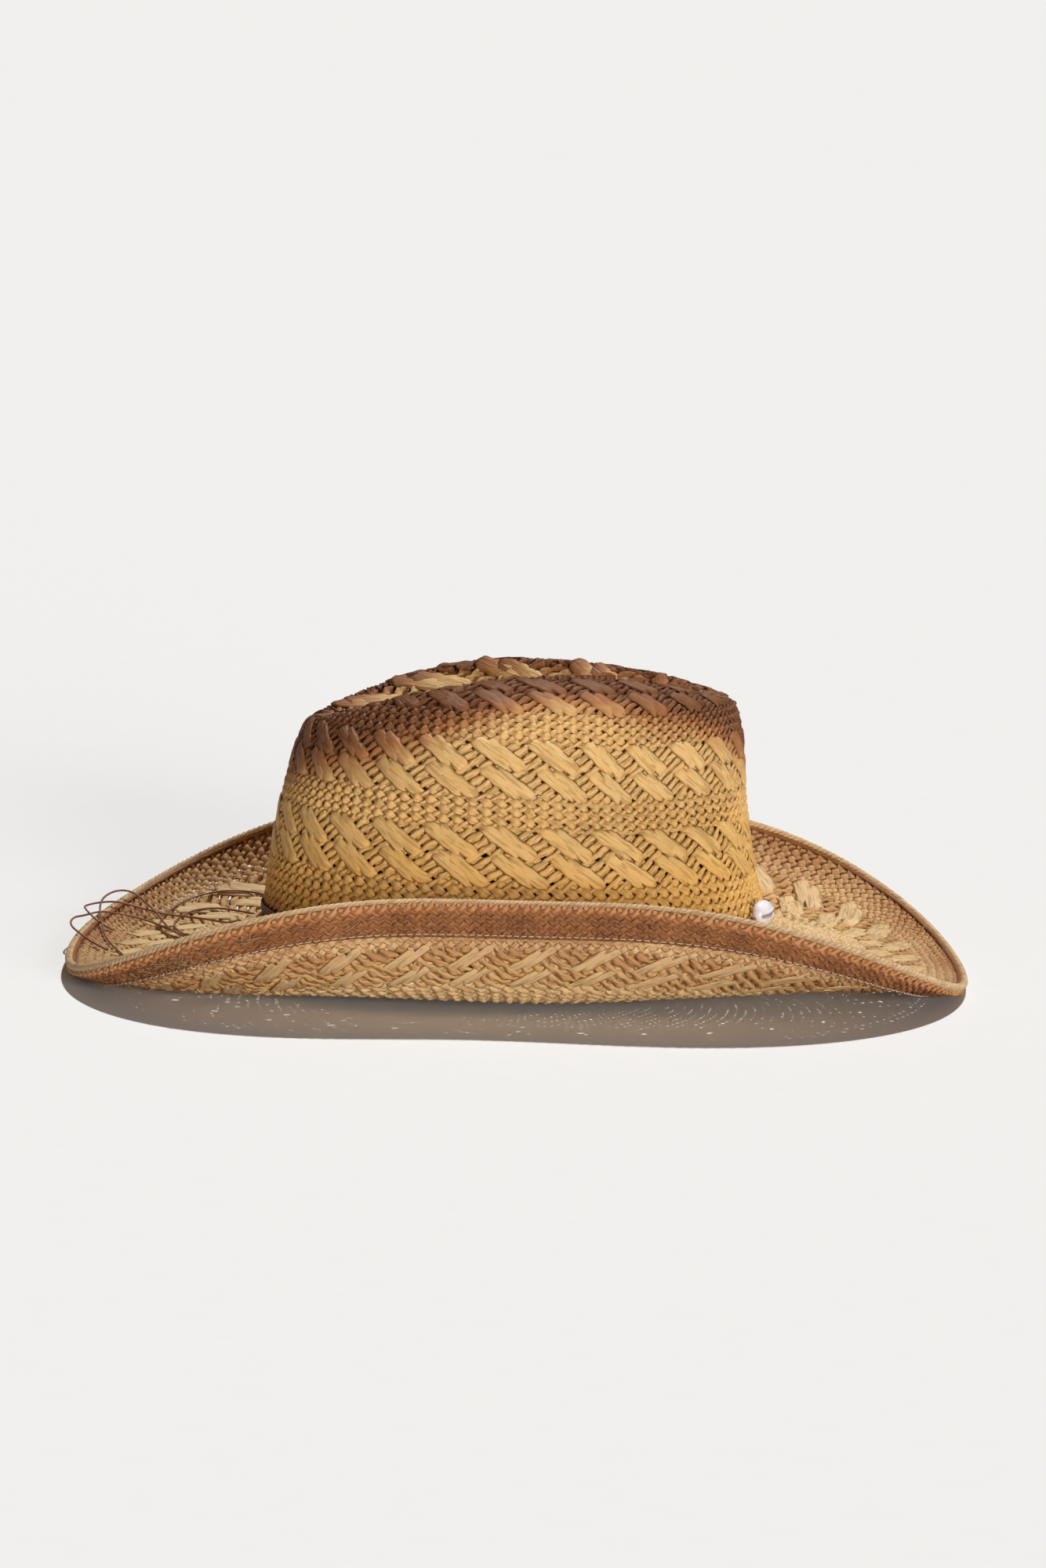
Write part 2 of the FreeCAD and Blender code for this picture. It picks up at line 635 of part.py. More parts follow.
document.recompute()
for item in document.Objects:
    if "Invalid" in item.State or "Error" in item.State:
        raise RuntimeError("%s could not be built: %s" % (item.Label, item.State))
for piece in SUB_PARTS:
    shape = piece.Shape
    if shape.isNull() or not shape.isValid() or len(shape.Solids) != 1:
        raise RuntimeError("%s is not one valid solid" % piece.Label)

os.makedirs("parts", exist_ok=True)
for piece in SUB_PARTS:
    box = piece.Shape.BoundBox
    print("%s volume %.1f, x %.1f to %.1f, y %.1f to %.1f, z %.1f to %.1f"
          % (piece.Label, piece.Shape.Volume, box.XMin, box.XMax, box.YMin, box.YMax,
             box.ZMin, box.ZMax))
    piece.Shape.exportStep("parts/%s.step" % piece.Label)
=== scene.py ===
import math

import bpy
import numpy as np
from mathutils import Matrix, Vector


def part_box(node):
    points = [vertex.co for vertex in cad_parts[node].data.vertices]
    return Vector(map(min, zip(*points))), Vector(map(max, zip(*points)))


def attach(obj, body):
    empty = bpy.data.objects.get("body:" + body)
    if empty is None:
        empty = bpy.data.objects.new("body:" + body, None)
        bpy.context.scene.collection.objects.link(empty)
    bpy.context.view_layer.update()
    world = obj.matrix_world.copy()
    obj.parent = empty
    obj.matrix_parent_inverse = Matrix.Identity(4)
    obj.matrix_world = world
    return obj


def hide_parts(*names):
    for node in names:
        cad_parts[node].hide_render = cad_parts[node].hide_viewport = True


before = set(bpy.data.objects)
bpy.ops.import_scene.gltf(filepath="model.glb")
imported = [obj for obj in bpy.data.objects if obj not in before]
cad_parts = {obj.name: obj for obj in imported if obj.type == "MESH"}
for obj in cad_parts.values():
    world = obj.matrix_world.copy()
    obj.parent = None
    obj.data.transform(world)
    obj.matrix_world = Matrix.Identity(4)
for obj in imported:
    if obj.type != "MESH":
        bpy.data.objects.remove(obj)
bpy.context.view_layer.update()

# A woven straw cowboy hat.  The shapes below are worked out in millimetres, by the same formulas
# as the solid parts: a turn round the oval of the crown's foot (0 at the front, a quarter turn at
# the hat's left side) and a place up the crown or out along the brim.  Meshes are in metres.
MM = 0.001
FULL_TURN = 2.0 * math.pi
CHANCE = np.random.default_rng(11)


# ---------------------------------------------------------------- camera and stage

CAMERA_DISTANCE = 2.0
CAMERA_ELEVATION = math.radians(7.7)
CAMERA_YAW = math.radians(1.02)
CAMERA_ROLL = math.radians(1.46)
CAMERA_LENS = 110.8
CAMERA_TARGET = Vector((0.0004, 0.0, 0.0772))


def make_camera():
    """A long lens at the hat's right side, a little above it."""
    data = bpy.data.cameras.new("camera")
    data.lens = CAMERA_LENS
    data.sensor_width = 36.0
    data.clip_start = 0.05
    camera = bpy.data.objects.new("camera", data)
    back = Vector((
        math.sin(CAMERA_YAW) * math.cos(CAMERA_ELEVATION),
        -math.cos(CAMERA_YAW) * math.cos(CAMERA_ELEVATION),
        math.sin(CAMERA_ELEVATION),
    ))
    turned = (-back).to_track_quat("-Z", "Y").to_matrix() @ Matrix.Rotation(CAMERA_ROLL, 3, "Z")
    place = Matrix.Translation(CAMERA_TARGET + back * CAMERA_DISTANCE)
    camera.matrix_world = place @ turned.to_4x4()
    bpy.context.collection.objects.link(camera)
    bpy.context.scene.camera = camera


def add_sun(name, direction, power, colour, softness):
    """A distant lamp that shines from a direction, the same all over the floor."""
    data = bpy.data.lights.new(name, "SUN")
    data.energy = power
    data.color = colour
    data.angle = math.radians(softness)
    lamp = bpy.data.objects.new(name, data)
    lamp.matrix_world = Vector(direction).to_track_quat("Z", "Y").to_matrix().to_4x4()
    bpy.context.collection.objects.link(lamp)


def make_lights():
    """A key lamp high behind the hat, a wide low one in front of it, and a pale surround."""
    add_sun("key_lamp", (0.16, 0.43, 0.90), 3.15, (1.0, 0.985, 0.96), 3.0)
    add_sun("front_fill", (0.40, -0.90, 0.06), 3.95, (1.0, 0.97, 0.92), 24.0)
    world = bpy.data.worlds.new("surround")
    world.use_nodes = True
    tree = world.node_tree
    ground = tree.nodes["Background"]
    ground.inputs["Color"].default_value = (0.96, 0.82, 0.64, 1.0)
    ground.inputs["Strength"].default_value = 0.10
    seen = add_node(tree, "ShaderNodeBackground", None, Color=(0.878, 0.868, 0.849, 1.0))
    path = add_node(tree, "ShaderNodeLightPath")
    both = add_node(tree, "ShaderNodeMixShader", None, _0=path.outputs["Is Camera Ray"],
                    _1=ground.outputs[0], _2=seen.outputs[0])
    tree.links.new(both.outputs[0], tree.nodes["World Output"].inputs["Surface"])
    bpy.context.scene.world = world
    bpy.context.scene.view_settings.view_transform = "Standard"


# ---------------------------------------------------------------- materials

def new_material(name):
    """An empty node material: its tree and its main shader."""
    material = bpy.data.materials.new(name)
    material.use_nodes = True
    tree = material.node_tree
    shader = tree.nodes["Principled BSDF"]
    return material, tree, shader


def add_node(tree, kind, settings=None, **inputs):
    """A node with its settings, and inputs that are values or another node's socket."""
    made = tree.nodes.new(kind)
    for name, value in (settings or {}).items():
        setattr(made, name, value)
    for name, value in inputs.items():
        key = int(name[1:]) if name[1:].isdigit() else name.replace("_", " ")
        if isinstance(value, bpy.types.NodeSocket):
            tree.links.new(value, made.inputs[key])
        else:
            made.inputs[key].default_value = value
    return made


def maths(tree, operation, first, second, third=0.0, clamp=False):
    """One step of arithmetic; only MULTIPLY_ADD uses the third value."""
    settings = {"operation": operation, "use_clamp": clamp}
    return add_node(tree, "ShaderNodeMath", settings, _0=first, _1=second, _2=third).outputs[0]


def mixed(tree, share, first, second):
    """Two colours mixed by a share."""
    return add_node(tree, "ShaderNodeMix", {"data_type": "RGBA"}, _0=share, _6=first,
                    _7=second).outputs[2]


def object_place(tree):
    """The place on the object, in metres."""
    return add_node(tree, "ShaderNodeTexCoord").outputs["Object"]


def coat(tree, shader, tone, roughness):
    """A colour and one roughness for the main shader."""
    tree.links.new(tone, shader.inputs["Base Color"])
    shader.inputs["Roughness"].default_value = roughness


def attribute(tree, name):
    """A piece's own data, as its three values."""
    made = add_node(tree, "ShaderNodeAttribute", {"attribute_name": name})
    split = add_node(tree, "ShaderNodeSeparateXYZ", None, Vector=made.outputs["Vector"])
    return split.outputs


def vector_of(tree, x, y, z):
    """Three values as one vector."""
    return add_node(tree, "ShaderNodeCombineXYZ", None, X=x, Y=y, Z=z).outputs[0]


def noise(tree, vector, scale, detail=3.0, roughness=0.55):
    """A noise value at a vector."""
    return add_node(tree, "ShaderNodeTexNoise", None, Vector=vector, Scale=scale, Detail=detail,
                    Roughness=roughness).outputs["Fac"]


def levels(tree, value, low, high):
    """A value stretched so that low gives 0 and high gives 1."""
    made = add_node(tree, "ShaderNodeMapRange", {"clamp": True}, Value=value, From_Min=low,
                    From_Max=high)
    return made.outputs[0]


def bump(tree, height, distance, strength):
    """A bumpy normal from a height."""
    return add_node(tree, "ShaderNodeBump", None, Height=height, Distance=distance,
                    Strength=strength).outputs[0]


STRAW_PALE = (0.98, 0.72, 0.33, 1.0)
STRAW_DEEP = (0.88, 0.52, 0.17, 1.0)
STRAW_GOLD = (0.94, 0.52, 0.07, 1.0)
BURNT = (0.12, 0.036, 0.013, 1.0)
# the soft brown of scorch, which the painted shade uses too
SOFT_SCORCH_AND_SHADE = (0.54, 0.23, 0.085, 1.0)
STRAW_WORN = (0.96, 0.80, 0.50, 1.0)
# the brown of the painted shade in the hollows of the straw's folds
STRAW_FOLD_SHADE = (0.42, 0.23, 0.08, 1.0)
STRAND_SEED = 37.0      # sets the fibres of one strand apart from the next one's


def straw_material(name, pale=STRAW_PALE, deep=STRAW_DEEP, through=0.32):
    """Crumpled paper straw: fibres along each strand, painted shade in the hollows of its folds,
    and scorch and painted shade where the piece says so.

    The attribute strand holds millimetres across and along a strand, and its number; the
    attribute tint holds how much scorch and painted shade it has, how golden and how twisted it is.
    """
    material, tree, shader = new_material(name)
    across, along, number = attribute(tree, "strand")
    scorch_and_shade, gold, twist = attribute(tree, "tint")
    slanted = maths(tree, "MULTIPLY_ADD", twist, across, along)
    seed = maths(tree, "MULTIPLY", number, STRAND_SEED)
    fibre_place = vector_of(tree, maths(tree, "MULTIPLY", across, 2.6),
                            maths(tree, "MULTIPLY", slanted, 0.22), seed)
    fibres = noise(tree, fibre_place, 1.0, 4.0, 0.6)
    fold_place = vector_of(tree, maths(tree, "MULTIPLY", across, 0.9),
                           maths(tree, "MULTIPLY", slanted, 0.1), seed)
    folds = noise(tree, fold_place, 1.0, 2.0, 0.5)
    patch_place = vector_of(tree, across, maths(tree, "MULTIPLY", along, 0.5), seed)
    patches = noise(tree, patch_place, 0.12, 2.0)
    tone = mixed(tree, levels(tree, fibres, 0.34, 0.68), deep, pale)
    tone = mixed(tree, maths(tree, "MULTIPLY", gold, 0.7), tone, STRAW_GOLD)
    shade = levels(tree, patches, 0.2, 0.8)
    tone = mixed(tree, maths(tree, "MULTIPLY", shade, 0.28), tone, STRAW_WORN)
    # painted shade: where the fold bumps are low the straw is darkened towards a brown, for the
    # shade in the creases
    crease = levels(tree, folds, 0.47, 0.40)
    tone = mixed(tree, maths(tree, "MULTIPLY", crease, 0.45), tone, STRAW_FOLD_SHADE)
    uneven = maths(tree, "MULTIPLY_ADD", fibres, 0.7, -0.35)
    # the tint's first value is scorch together with painted shade from the pieces; both darken the
    # straw towards the soft brown and then the dark brown
    where_burnt = maths(tree, "MINIMUM", maths(tree, "MULTIPLY", scorch_and_shade, 3.0), 1.0)
    burn_and_shade = maths(tree, "ADD", scorch_and_shade, maths(tree, "MULTIPLY", uneven, where_burnt), clamp=True)
    tone = mixed(tree, levels(tree, burn_and_shade, 0.02, 0.55), tone, SOFT_SCORCH_AND_SHADE)
    tone = mixed(tree, levels(tree, burn_and_shade, 0.5, 1.05), tone, BURNT)
    coat(tree, shader, tone, 0.50)
    shader.inputs["Specular IOR Level"].default_value = 0.25
    height = maths(tree, "MULTIPLY_ADD", folds, 2.0, fibres)
    tree.links.new(bump(tree, height, 0.0005, 0.8), shader.inputs["Normal"])
    glow = add_node(tree, "ShaderNodeBsdfTranslucent", None, Color=tone)
    both = add_node(tree, "ShaderNodeMixShader", None, _0=through, _1=shader.outputs[0],
                    _2=glow.outputs[0])
    tree.links.new(both.outputs[0], tree.nodes["Material Output"].inputs["Surface"])
    return material


def cord_material():
    """Brown waxed cord: fine twisted fibres under a dull shine."""
    material, tree, shader = new_material("waxed_cord")
    place = object_place(tree)
    grain = noise(tree, place, 2600.0, 3.0)
    slow = noise(tree, place, 90.0, 2.0)
    tone = mixed(tree, grain, (0.12, 0.045, 0.022, 1.0), (0.28, 0.115, 0.055, 1.0))
    tone = mixed(tree, maths(tree, "MULTIPLY", levels(tree, slow, 0.45, 0.75), 0.5), tone,
                 (0.42, 0.21, 0.11, 1.0))
    coat(tree, shader, tone, 0.46)
    tree.links.new(bump(tree, grain, 0.0001, 0.6), shader.inputs["Normal"])
    return material


def shell_material():
    """Glossy bluish-white cowrie with a small orange blush at one end, and painted shade in its
    slit.
    """
    material, tree, shader = new_material("cowrie")
    across, along, painted_slit_shade = attribute(tree, "shell")
    cloud = noise(tree, vector_of(tree, across, along, painted_slit_shade), 2.2, 3.0)
    tone = mixed(tree, cloud, (0.66, 0.66, 0.80, 1.0), (0.94, 0.92, 0.95, 1.0))
    blush = levels(tree, along, 0.62, 0.98)
    tone = mixed(tree, maths(tree, "MULTIPLY", blush, 0.75), tone, (0.80, 0.38, 0.14, 1.0))
    # painted shade: the slit is darkened to a deep brown, less on its teeth, for the shade of the
    # shell's hollow inside
    tone = mixed(tree, levels(tree, painted_slit_shade, 0.0, 1.0), tone, (0.30, 0.16, 0.12, 1.0))
    tree.links.new(tone, shader.inputs["Base Color"])
    tree.links.new(levels(tree, cloud, -1.2, 4.0), shader.inputs["Roughness"])
    shader.inputs["Coat Weight"].default_value = 0.6
    shader.inputs["Subsurface Weight"].default_value = 0.15
    shader.inputs["Subsurface Radius"].default_value = (0.002, 0.0015, 0.001)
    return material


def cloth_material(name, dark, light, ribs, depth):
    """Ribbed ribbon: ribs across it, a little lint, and a soft sheen."""
    material, tree, shader = new_material(name)
    across, along, _ = attribute(tree, "strand")
    rib = add_node(tree, "ShaderNodeTexWave", {"bands_direction": "X"},
                   Vector=vector_of(tree, along, 0.0, 0.0), Scale=ribs, Distortion=0.3,
                   Detail=1.0).outputs["Fac"]
    lint = noise(tree, vector_of(tree, along, across, 0.0), 3.0, 4.0)
    tone = mixed(tree, rib, dark, light)
    tone = mixed(tree, maths(tree, "MULTIPLY", levels(tree, lint, 0.55, 0.8), 0.35), tone,
                 tuple(min(1.0, channel * 1.8) for channel in light[:3]) + (1.0,))
    coat(tree, shader, tone, 0.85)
    shader.inputs["Sheen Weight"].default_value = 0.3
    tree.links.new(bump(tree, rib, depth, 0.7), shader.inputs["Normal"])
    return material


def thread_material():
    """Sewing thread, two-ply, in light tan."""
    material, tree, shader = new_material("sewing_thread")
    place = object_place(tree)
    grain = noise(tree, place, 3500.0, 2.0)
    tone = mixed(tree, grain, (0.42, 0.30, 0.22, 1.0), (0.72, 0.58, 0.46, 1.0))
    coat(tree, shader, tone, 0.7)
    return material


def steel_material():
    """Drawn steel wire, finely streaked."""
    material, tree, shader = new_material("wire_steel")
    place = object_place(tree)
    streak = noise(tree, place, 1500.0, 3.0)
    coat(tree, shader, mixed(tree, streak, (0.35, 0.34, 0.33, 1.0), (0.62, 0.61, 0.60, 1.0)), 0.35)
    shader.inputs["Metallic"].default_value = 1.0
    return material


def floor_material():
    """Plain pale paper."""
    material, tree, shader = new_material("pale_paper")
    place = object_place(tree)
    grain = noise(tree, place, 60.0, 2.0)
    tone = mixed(tree, grain, (0.795, 0.810, 0.828, 1.0), (0.815, 0.830, 0.848, 1.0))
    coat(tree, shader, tone, 1.0)
    shader.inputs["Specular IOR Level"].default_value = 0.0
    return material


# ---------------------------------------------------------------- the hat's surfaces

OVAL = (104.0, 87.0)
OVAL_X = -1.0
FOOT_HEIGHT = (24.5, 20.2, 8.05)            # at the front, the back and the sides
BRIM_WIDTH = (84.0, 82.5, 79.0)
SLOPE_IN = (-26.0, -37.0, -21.3)
SLOPE_OUT = (-4.0, 16.0, 95.7)
ROLL_POWER = (2.17, 3.05)
CORNER_EXTRA = (15.6, 21.8)
RIDGE_HEIGHT, RIDGE_CREST_X, RIDGE_FALL = 125.0, 15.0, 0.00224
RIDGE_HALF_LENGTH, WALL_TAPER = 86.0, 12.5
RIDGE_HALF_WIDTH = (22.0, 51.0)
WALL_HOLLOW, WALL_HOLLOW_RISE = (4.4, -1.6), 0.75
PINCH_CENTRE, PINCH_SOFTNESS = -0.02, 0.16
CREASE_DEPTH, CREASE_CENTRE_X = 17.0, -6.0
DENT_DEPTH, DENT_TURN, DENT_SPREAD = 9.0, 58.0, 27.0
DENT_LEVEL, DENT_RISE = 0.62, 0.22
HALF_STRAW = 1.2


def stacked(*parts):
    """Coordinates as one array of points."""
    return np.stack(np.broadcast_arrays(*parts), axis=-1)


def unit(vectors):
    """Vectors of length one."""
    return vectors / np.maximum(np.linalg.norm(vectors, axis=-1, keepdims=True), 1e-9)


def oval(turn, out):
    """Points in plan, a distance outside the oval of the crown's foot."""
    a, b = OVAL
    nx, ny = np.cos(turn) / a, np.sin(turn) / b
    length = np.hypot(nx, ny)
    return a * np.cos(turn) + OVAL_X + out * nx / length, b * np.sin(turn) + out * ny / length


def end_value(pair, turn):
    """The front's value or the back's."""
    return np.where(np.cos(turn) > 0.0, pair[0], pair[1])


def round_the_hat(values, turn):
    """A dimension that changes from the front or the back of the hat to its sides."""
    sideways = np.abs(np.sin(turn)) ** end_value(ROLL_POWER, turn)
    return end_value(values, turn) * (1.0 - sideways) + values[2] * sideways


def brim_width(turn):
    """Width of the brim along the straw."""
    corner = np.sin(2.0 * turn) ** 2
    return round_the_hat(BRIM_WIDTH, turn) + end_value(CORNER_EXTRA, turn) * corner


def brim_point(turn, along, above=0.0):
    """Points of the brim: along the straw from the crown, and above its middle layer."""
    start = np.radians(round_the_hat(SLOPE_IN, turn))
    stop = np.radians(round_the_hat(SLOPE_OUT, turn))
    curl = (stop - start) / brim_width(turn)
    slope = start + curl * along
    out = (np.sin(slope) - np.sin(start)) / curl - above * np.sin(slope)
    rise = (np.cos(start) - np.cos(slope)) / curl + above * np.cos(slope)
    x, y = oval(turn, out)
    return stacked(x, y, round_the_hat(FOOT_HEIGHT, turn) + rise)


def ridge_height(x):
    """Height of the crown's ridges."""
    return RIDGE_HEIGHT - RIDGE_FALL * (x - RIDGE_CREST_X) ** 2


def ridge_point(turn):
    """The ridge round the crease: wide behind and pinched in front."""
    lean = (np.cos(turn) - PINCH_CENTRE) / PINCH_SOFTNESS
    front, back = RIDGE_HALF_WIDTH
    half_width = front + (back - front) / (1.0 + np.exp(lean))
    x = RIDGE_HALF_LENGTH * np.cos(turn) + OVAL_X
    return x, half_width * np.sin(turn), ridge_height(x)


def crown_point(turn, level):
    """Points of the crown: level 0 at its foot, 1 at the ridge, 2 in the crease."""
    turn, level = np.broadcast_arrays(turn, level)
    rx, ry, rz = ridge_point(turn)
    reach = np.clip(2.0 - level, 0.0, 1.0)
    tip_x = CREASE_CENTRE_X + (rx - CREASE_CENTRE_X) * reach
    tip_z = ridge_height(tip_x) - CREASE_DEPTH * (1.0 - reach ** 4) ** 1.5
    wall_level = np.clip(level, 0.0, 1.0)
    degrees = np.abs(np.degrees(np.arctan2(np.sin(turn), np.cos(turn))))
    beside = np.exp(-((degrees - DENT_TURN) / DENT_SPREAD) ** 2)
    upward = np.exp(-((wall_level - DENT_LEVEL) / DENT_RISE) ** 2)
    frontal = (1.0 + np.cos(turn)) / 2.0
    hollow = WALL_HOLLOW[1] * (1.0 - frontal) + WALL_HOLLOW[0] * frontal
    hollow = hollow * np.sin(math.pi * wall_level ** WALL_HOLLOW_RISE)
    wx, wy = oval(turn, -WALL_TAPER * wall_level - DENT_DEPTH * beside * upward - hollow)
    roll = 1.0 - np.sqrt(np.maximum(0.0, 1.0 - wall_level ** (5.0 - 2.2 * beside)))
    tx, ty = oval(turn, -WALL_TAPER)
    foot = round_the_hat(FOOT_HEIGHT, turn)
    wall = stacked(wx + (rx - tx) * roll, wy + (ry - ty) * roll, foot + (rz - foot) * wall_level)
    tip = stacked(tip_x, ry * reach, tip_z)
    return np.where((level > 1.0)[..., None], tip, wall)


def wall_out(turn, height, out):
    """Points beside the crown's wall: a height above its foot, and outside its middle layer."""
    turn, height, out = np.broadcast_arrays(turn, height, out)
    level = height / (ridge_point(turn)[2] - round_the_hat(FOOT_HEIGHT, turn))
    step = 0.002
    low = np.maximum(level - step, 0.0)
    around = crown_point(turn + step, level) - crown_point(turn - step, level)
    upward = crown_point(turn, level + step) - crown_point(turn, low)
    return crown_point(turn, level) + unit(np.cross(around, upward)) * out[..., None]


# ---------------------------------------------------------------- meshes

def mesh_piece(name, points, quads, body, material, data, caps=None):
    """A mesh from points in millimetres and faces of four corners, riding on a body.

    caps are further faces, all with one number of corners; data maps an attribute's name to
    three values for each point.
    """
    mesh = bpy.data.meshes.new(name)
    points = np.asarray(points, dtype=np.float64).reshape(-1, 3)
    faces = [np.asarray(quads, dtype=np.int32).reshape(-1, 4)]
    if caps is not None:
        faces.append(np.asarray(caps, dtype=np.int32))
    corners = np.concatenate([each.ravel() for each in faces])
    sizes = np.concatenate([np.full(len(each), each.shape[1], dtype=np.int32) for each in faces])
    starts = np.concatenate([[0], np.cumsum(sizes)[:-1]]).astype(np.int32)
    mesh.vertices.add(len(points))
    mesh.vertices.foreach_set("co", (points * MM).ravel())
    mesh.loops.add(len(corners))
    mesh.loops.foreach_set("vertex_index", corners)
    mesh.polygons.add(len(sizes))
    mesh.polygons.foreach_set("loop_start", starts)
    mesh.update(calc_edges=True)
    mesh.polygons.foreach_set("use_smooth", np.ones(len(sizes), dtype=bool))
    for key, values in data.items():
        layer = mesh.attributes.new(key, "FLOAT_VECTOR", "POINT")
        values = np.ascontiguousarray(values, dtype=np.float32).reshape(-1, 3)
        layer.data.foreach_set("vector", values.ravel())
    mesh.materials.append(material)
    piece = bpy.data.objects.new(name, mesh)
    bpy.context.collection.objects.link(piece)
    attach(piece, body)
    return piece


def tube_faces(strands, rings, sides, closed_path=False):
    """Faces of tubes whose points are counted strand by strand, ring by ring, side by side."""
    strand = np.arange(strands)[:, None, None] * rings * sides
    last = rings if closed_path else rings - 1
    ring = np.arange(last)[None, :, None]
    side = np.arange(sides)[None, None, :]
    following = (ring + 1) % rings
    after = (side + 1) % sides
    quads = np.stack([
        strand + ring * sides + side, strand + ring * sides + after,
        strand + following * sides + after, strand + following * sides + side,
    ], axis=-1).reshape(-1, 4)
    if closed_path:
        return quads, None
    first_ring = strand[:, 0] + np.arange(sides)[None, ::-1]
    last_ring = strand[:, 0] + (rings - 1) * sides + np.arange(sides)[None, :]
    return quads, np.concatenate([first_ring, last_ring])


def paint(piece, tint):
    """One tint for every point of a piece."""
    layer = piece.data.attributes.new("tint", "FLOAT_VECTOR", "POINT")
    values = np.tile(tint, len(piece.data.vertices)).astype(np.float32)
    layer.data.foreach_set("vector", values)


def swept_points(centres, sides_out, ups, profile_side, profile_up):
    """Points of sections placed along lines; a profile is given in the two section axes."""
    return (centres[..., None, :] + sides_out[..., None, :] * profile_side[..., None]
            + ups[..., None, :] * profile_up[..., None])


def frames_along(centres, closed=False):
    """Two section axes along lines, square to the line and to each other."""
    if closed:
        ahead = unit(np.roll(centres, -1, axis=-2) - np.roll(centres, 1, axis=-2))
    else:
        ahead = unit(np.gradient(centres, axis=-2))
    reference = np.broadcast_to(np.array([0.13, 0.21, 0.97]), centres.shape)
    side = unit(np.cross(ahead, reference))
    return side, np.cross(side, ahead)


def round_tubes(name, centres, radius, body, material, sides=8, closed=False):
    """Round tubes along lines of points, all with the same number of points."""
    centres = np.asarray(centres, dtype=np.float64)
    if centres.ndim == 2:
        centres = centres[None]
    side, up = frames_along(centres, closed)
    angle = FULL_TURN * np.arange(sides) / sides
    radius = np.broadcast_to(np.asarray(radius, dtype=np.float64), centres.shape[:2])[..., None]
    points = swept_points(centres, side, up, radius * np.cos(angle), radius * np.sin(angle))
    quads, caps = tube_faces(centres.shape[0], centres.shape[1], sides, closed)
    length = np.cumsum(np.linalg.norm(np.diff(centres, axis=1, prepend=centres[:, :1]), axis=-1),
                       axis=1)[..., None]
    number = np.arange(centres.shape[0])[:, None, None] * 0.173
    strand = stacked(radius * angle, length, number)
    return mesh_piece(name, points, quads, body, material, {"strand": strand}, caps)


# ---------------------------------------------------------------- the cords

CORD_DIAMETER = 0.0009
CORDS = {
    "hatband_tail_1": ("bare", 0.283, [
        (-0.0995, -0.0450, 0.0214), (-0.1035, -0.0442, 0.0191), (-0.1105, -0.0388, 0.0161),
        (-0.1210, -0.0270, 0.0126), (-0.1310, -0.0115, 0.0101), (-0.1390, 0.0065, 0.0080),
        (-0.1460, 0.0260, 0.0066), (-0.1515, 0.0460, 0.0063), (-0.1560, 0.0640, 0.0074),
        (-0.1625, 0.0780, 0.0101), (-0.1695, 0.0865, 0.0138), (-0.1760, 0.0830, 0.0147),
        (-0.1805, 0.0700, 0.0137), (-0.1805, 0.0540, 0.0118), (-0.1775, 0.0360, 0.0085),
        (-0.1740, 0.0140, 0.0060), (-0.1670, -0.0100, 0.0050), (-0.1585, -0.0335, 0.0041),
    ]),
    "hatband_tail_2": ("bare", 0.210, [
        (-0.1022, -0.0403, 0.0210), (-0.1050, -0.0355, 0.0197), (-0.1090, -0.0260, 0.0182),
        (-0.1135, -0.0090, 0.0173), (-0.1175, 0.0140, 0.0146), (-0.1210, 0.0360, 0.0101),
        (-0.1265, 0.0560, 0.0061), (-0.1340, 0.0690, 0.0050), (-0.1430, 0.0725, 0.0054),
        (-0.1540, 0.0735, 0.0061), (-0.1650, 0.0760, 0.0083), (-0.1745, 0.0745, 0.0111),
        (-0.1820, 0.0640, 0.0121), (-0.1865, 0.0510, 0.0126), (-0.1853, 0.0410, 0.0130),
        (-0.1790, 0.0370, 0.0079), (-0.1725, 0.0335, 0.0055),
    ]),
    "hatband_tail_3": ("bare", 0.222, [
        (-0.1002, -0.0434, 0.0207), (-0.1045, -0.0418, 0.0178), (-0.1120, -0.0340, 0.0153),
        (-0.1220, -0.0200, 0.0127), (-0.1320, -0.0030, 0.0099), (-0.1400, 0.0150, 0.0074),
        (-0.1465, 0.0330, 0.0055), (-0.1525, 0.0490, 0.0048), (-0.1600, 0.0590, 0.0056),
        (-0.1710, 0.0615, 0.0078), (-0.1800, 0.0540, 0.0100), (-0.1852, 0.0380, 0.0105),
        (-0.1880, 0.0200, 0.0126), (-0.1879, 0.0070, 0.0116), (-0.1825, -0.0010, 0.0092),
        (-0.1760, -0.0090, 0.0067), (-0.1695, -0.0150, 0.0051),
    ]),
    "hatband_loop_1": ("object", 0.272, [
        (-0.0941, 0.0520, 0.0198), (-0.0956, 0.0580, 0.0149), (-0.0970, 0.0710, 0.0096),
        (-0.0990, 0.0880, 0.0068), (-0.1045, 0.1030, 0.0078), (-0.1145, 0.1110, 0.0104),
        (-0.1270, 0.1120, 0.0116), (-0.1390, 0.1065, 0.0108), (-0.1490, 0.0950, 0.0083),
        (-0.1545, 0.0780, 0.0055), (-0.1555, 0.0600, 0.0040), (-0.1520, 0.0420, 0.0037),
        (-0.1460, 0.0240, 0.0049), (-0.1390, 0.0060, 0.0067), (-0.1295, -0.0130, 0.0093),
        (-0.1185, -0.0295, 0.0119), (-0.1090, -0.0410, 0.0142), (-0.1018, -0.0464, 0.0169),
        (-0.0982, -0.0463, 0.0202),
    ]),
    "hatband_loop_2": ("object", 0.221, [
        (-0.0965, 0.0488, 0.0198), (-0.1000, 0.0535, 0.0146), (-0.1050, 0.0650, 0.0091),
        (-0.1120, 0.0795, 0.0058), (-0.1220, 0.0900, 0.0056), (-0.1330, 0.0940, 0.0064),
        (-0.1425, 0.0890, 0.0061), (-0.1480, 0.0770, 0.0047), (-0.1495, 0.0620, 0.0037),
        (-0.1460, 0.0450, 0.0039), (-0.1410, 0.0270, 0.0054), (-0.1350, 0.0080, 0.0077),
        (-0.1260, -0.0110, 0.0106), (-0.1160, -0.0260, 0.0136), (-0.1085, -0.0345, 0.0158),
        (-0.1038, -0.0392, 0.0177), (-0.1007, -0.0415, 0.0198),
    ]),
}


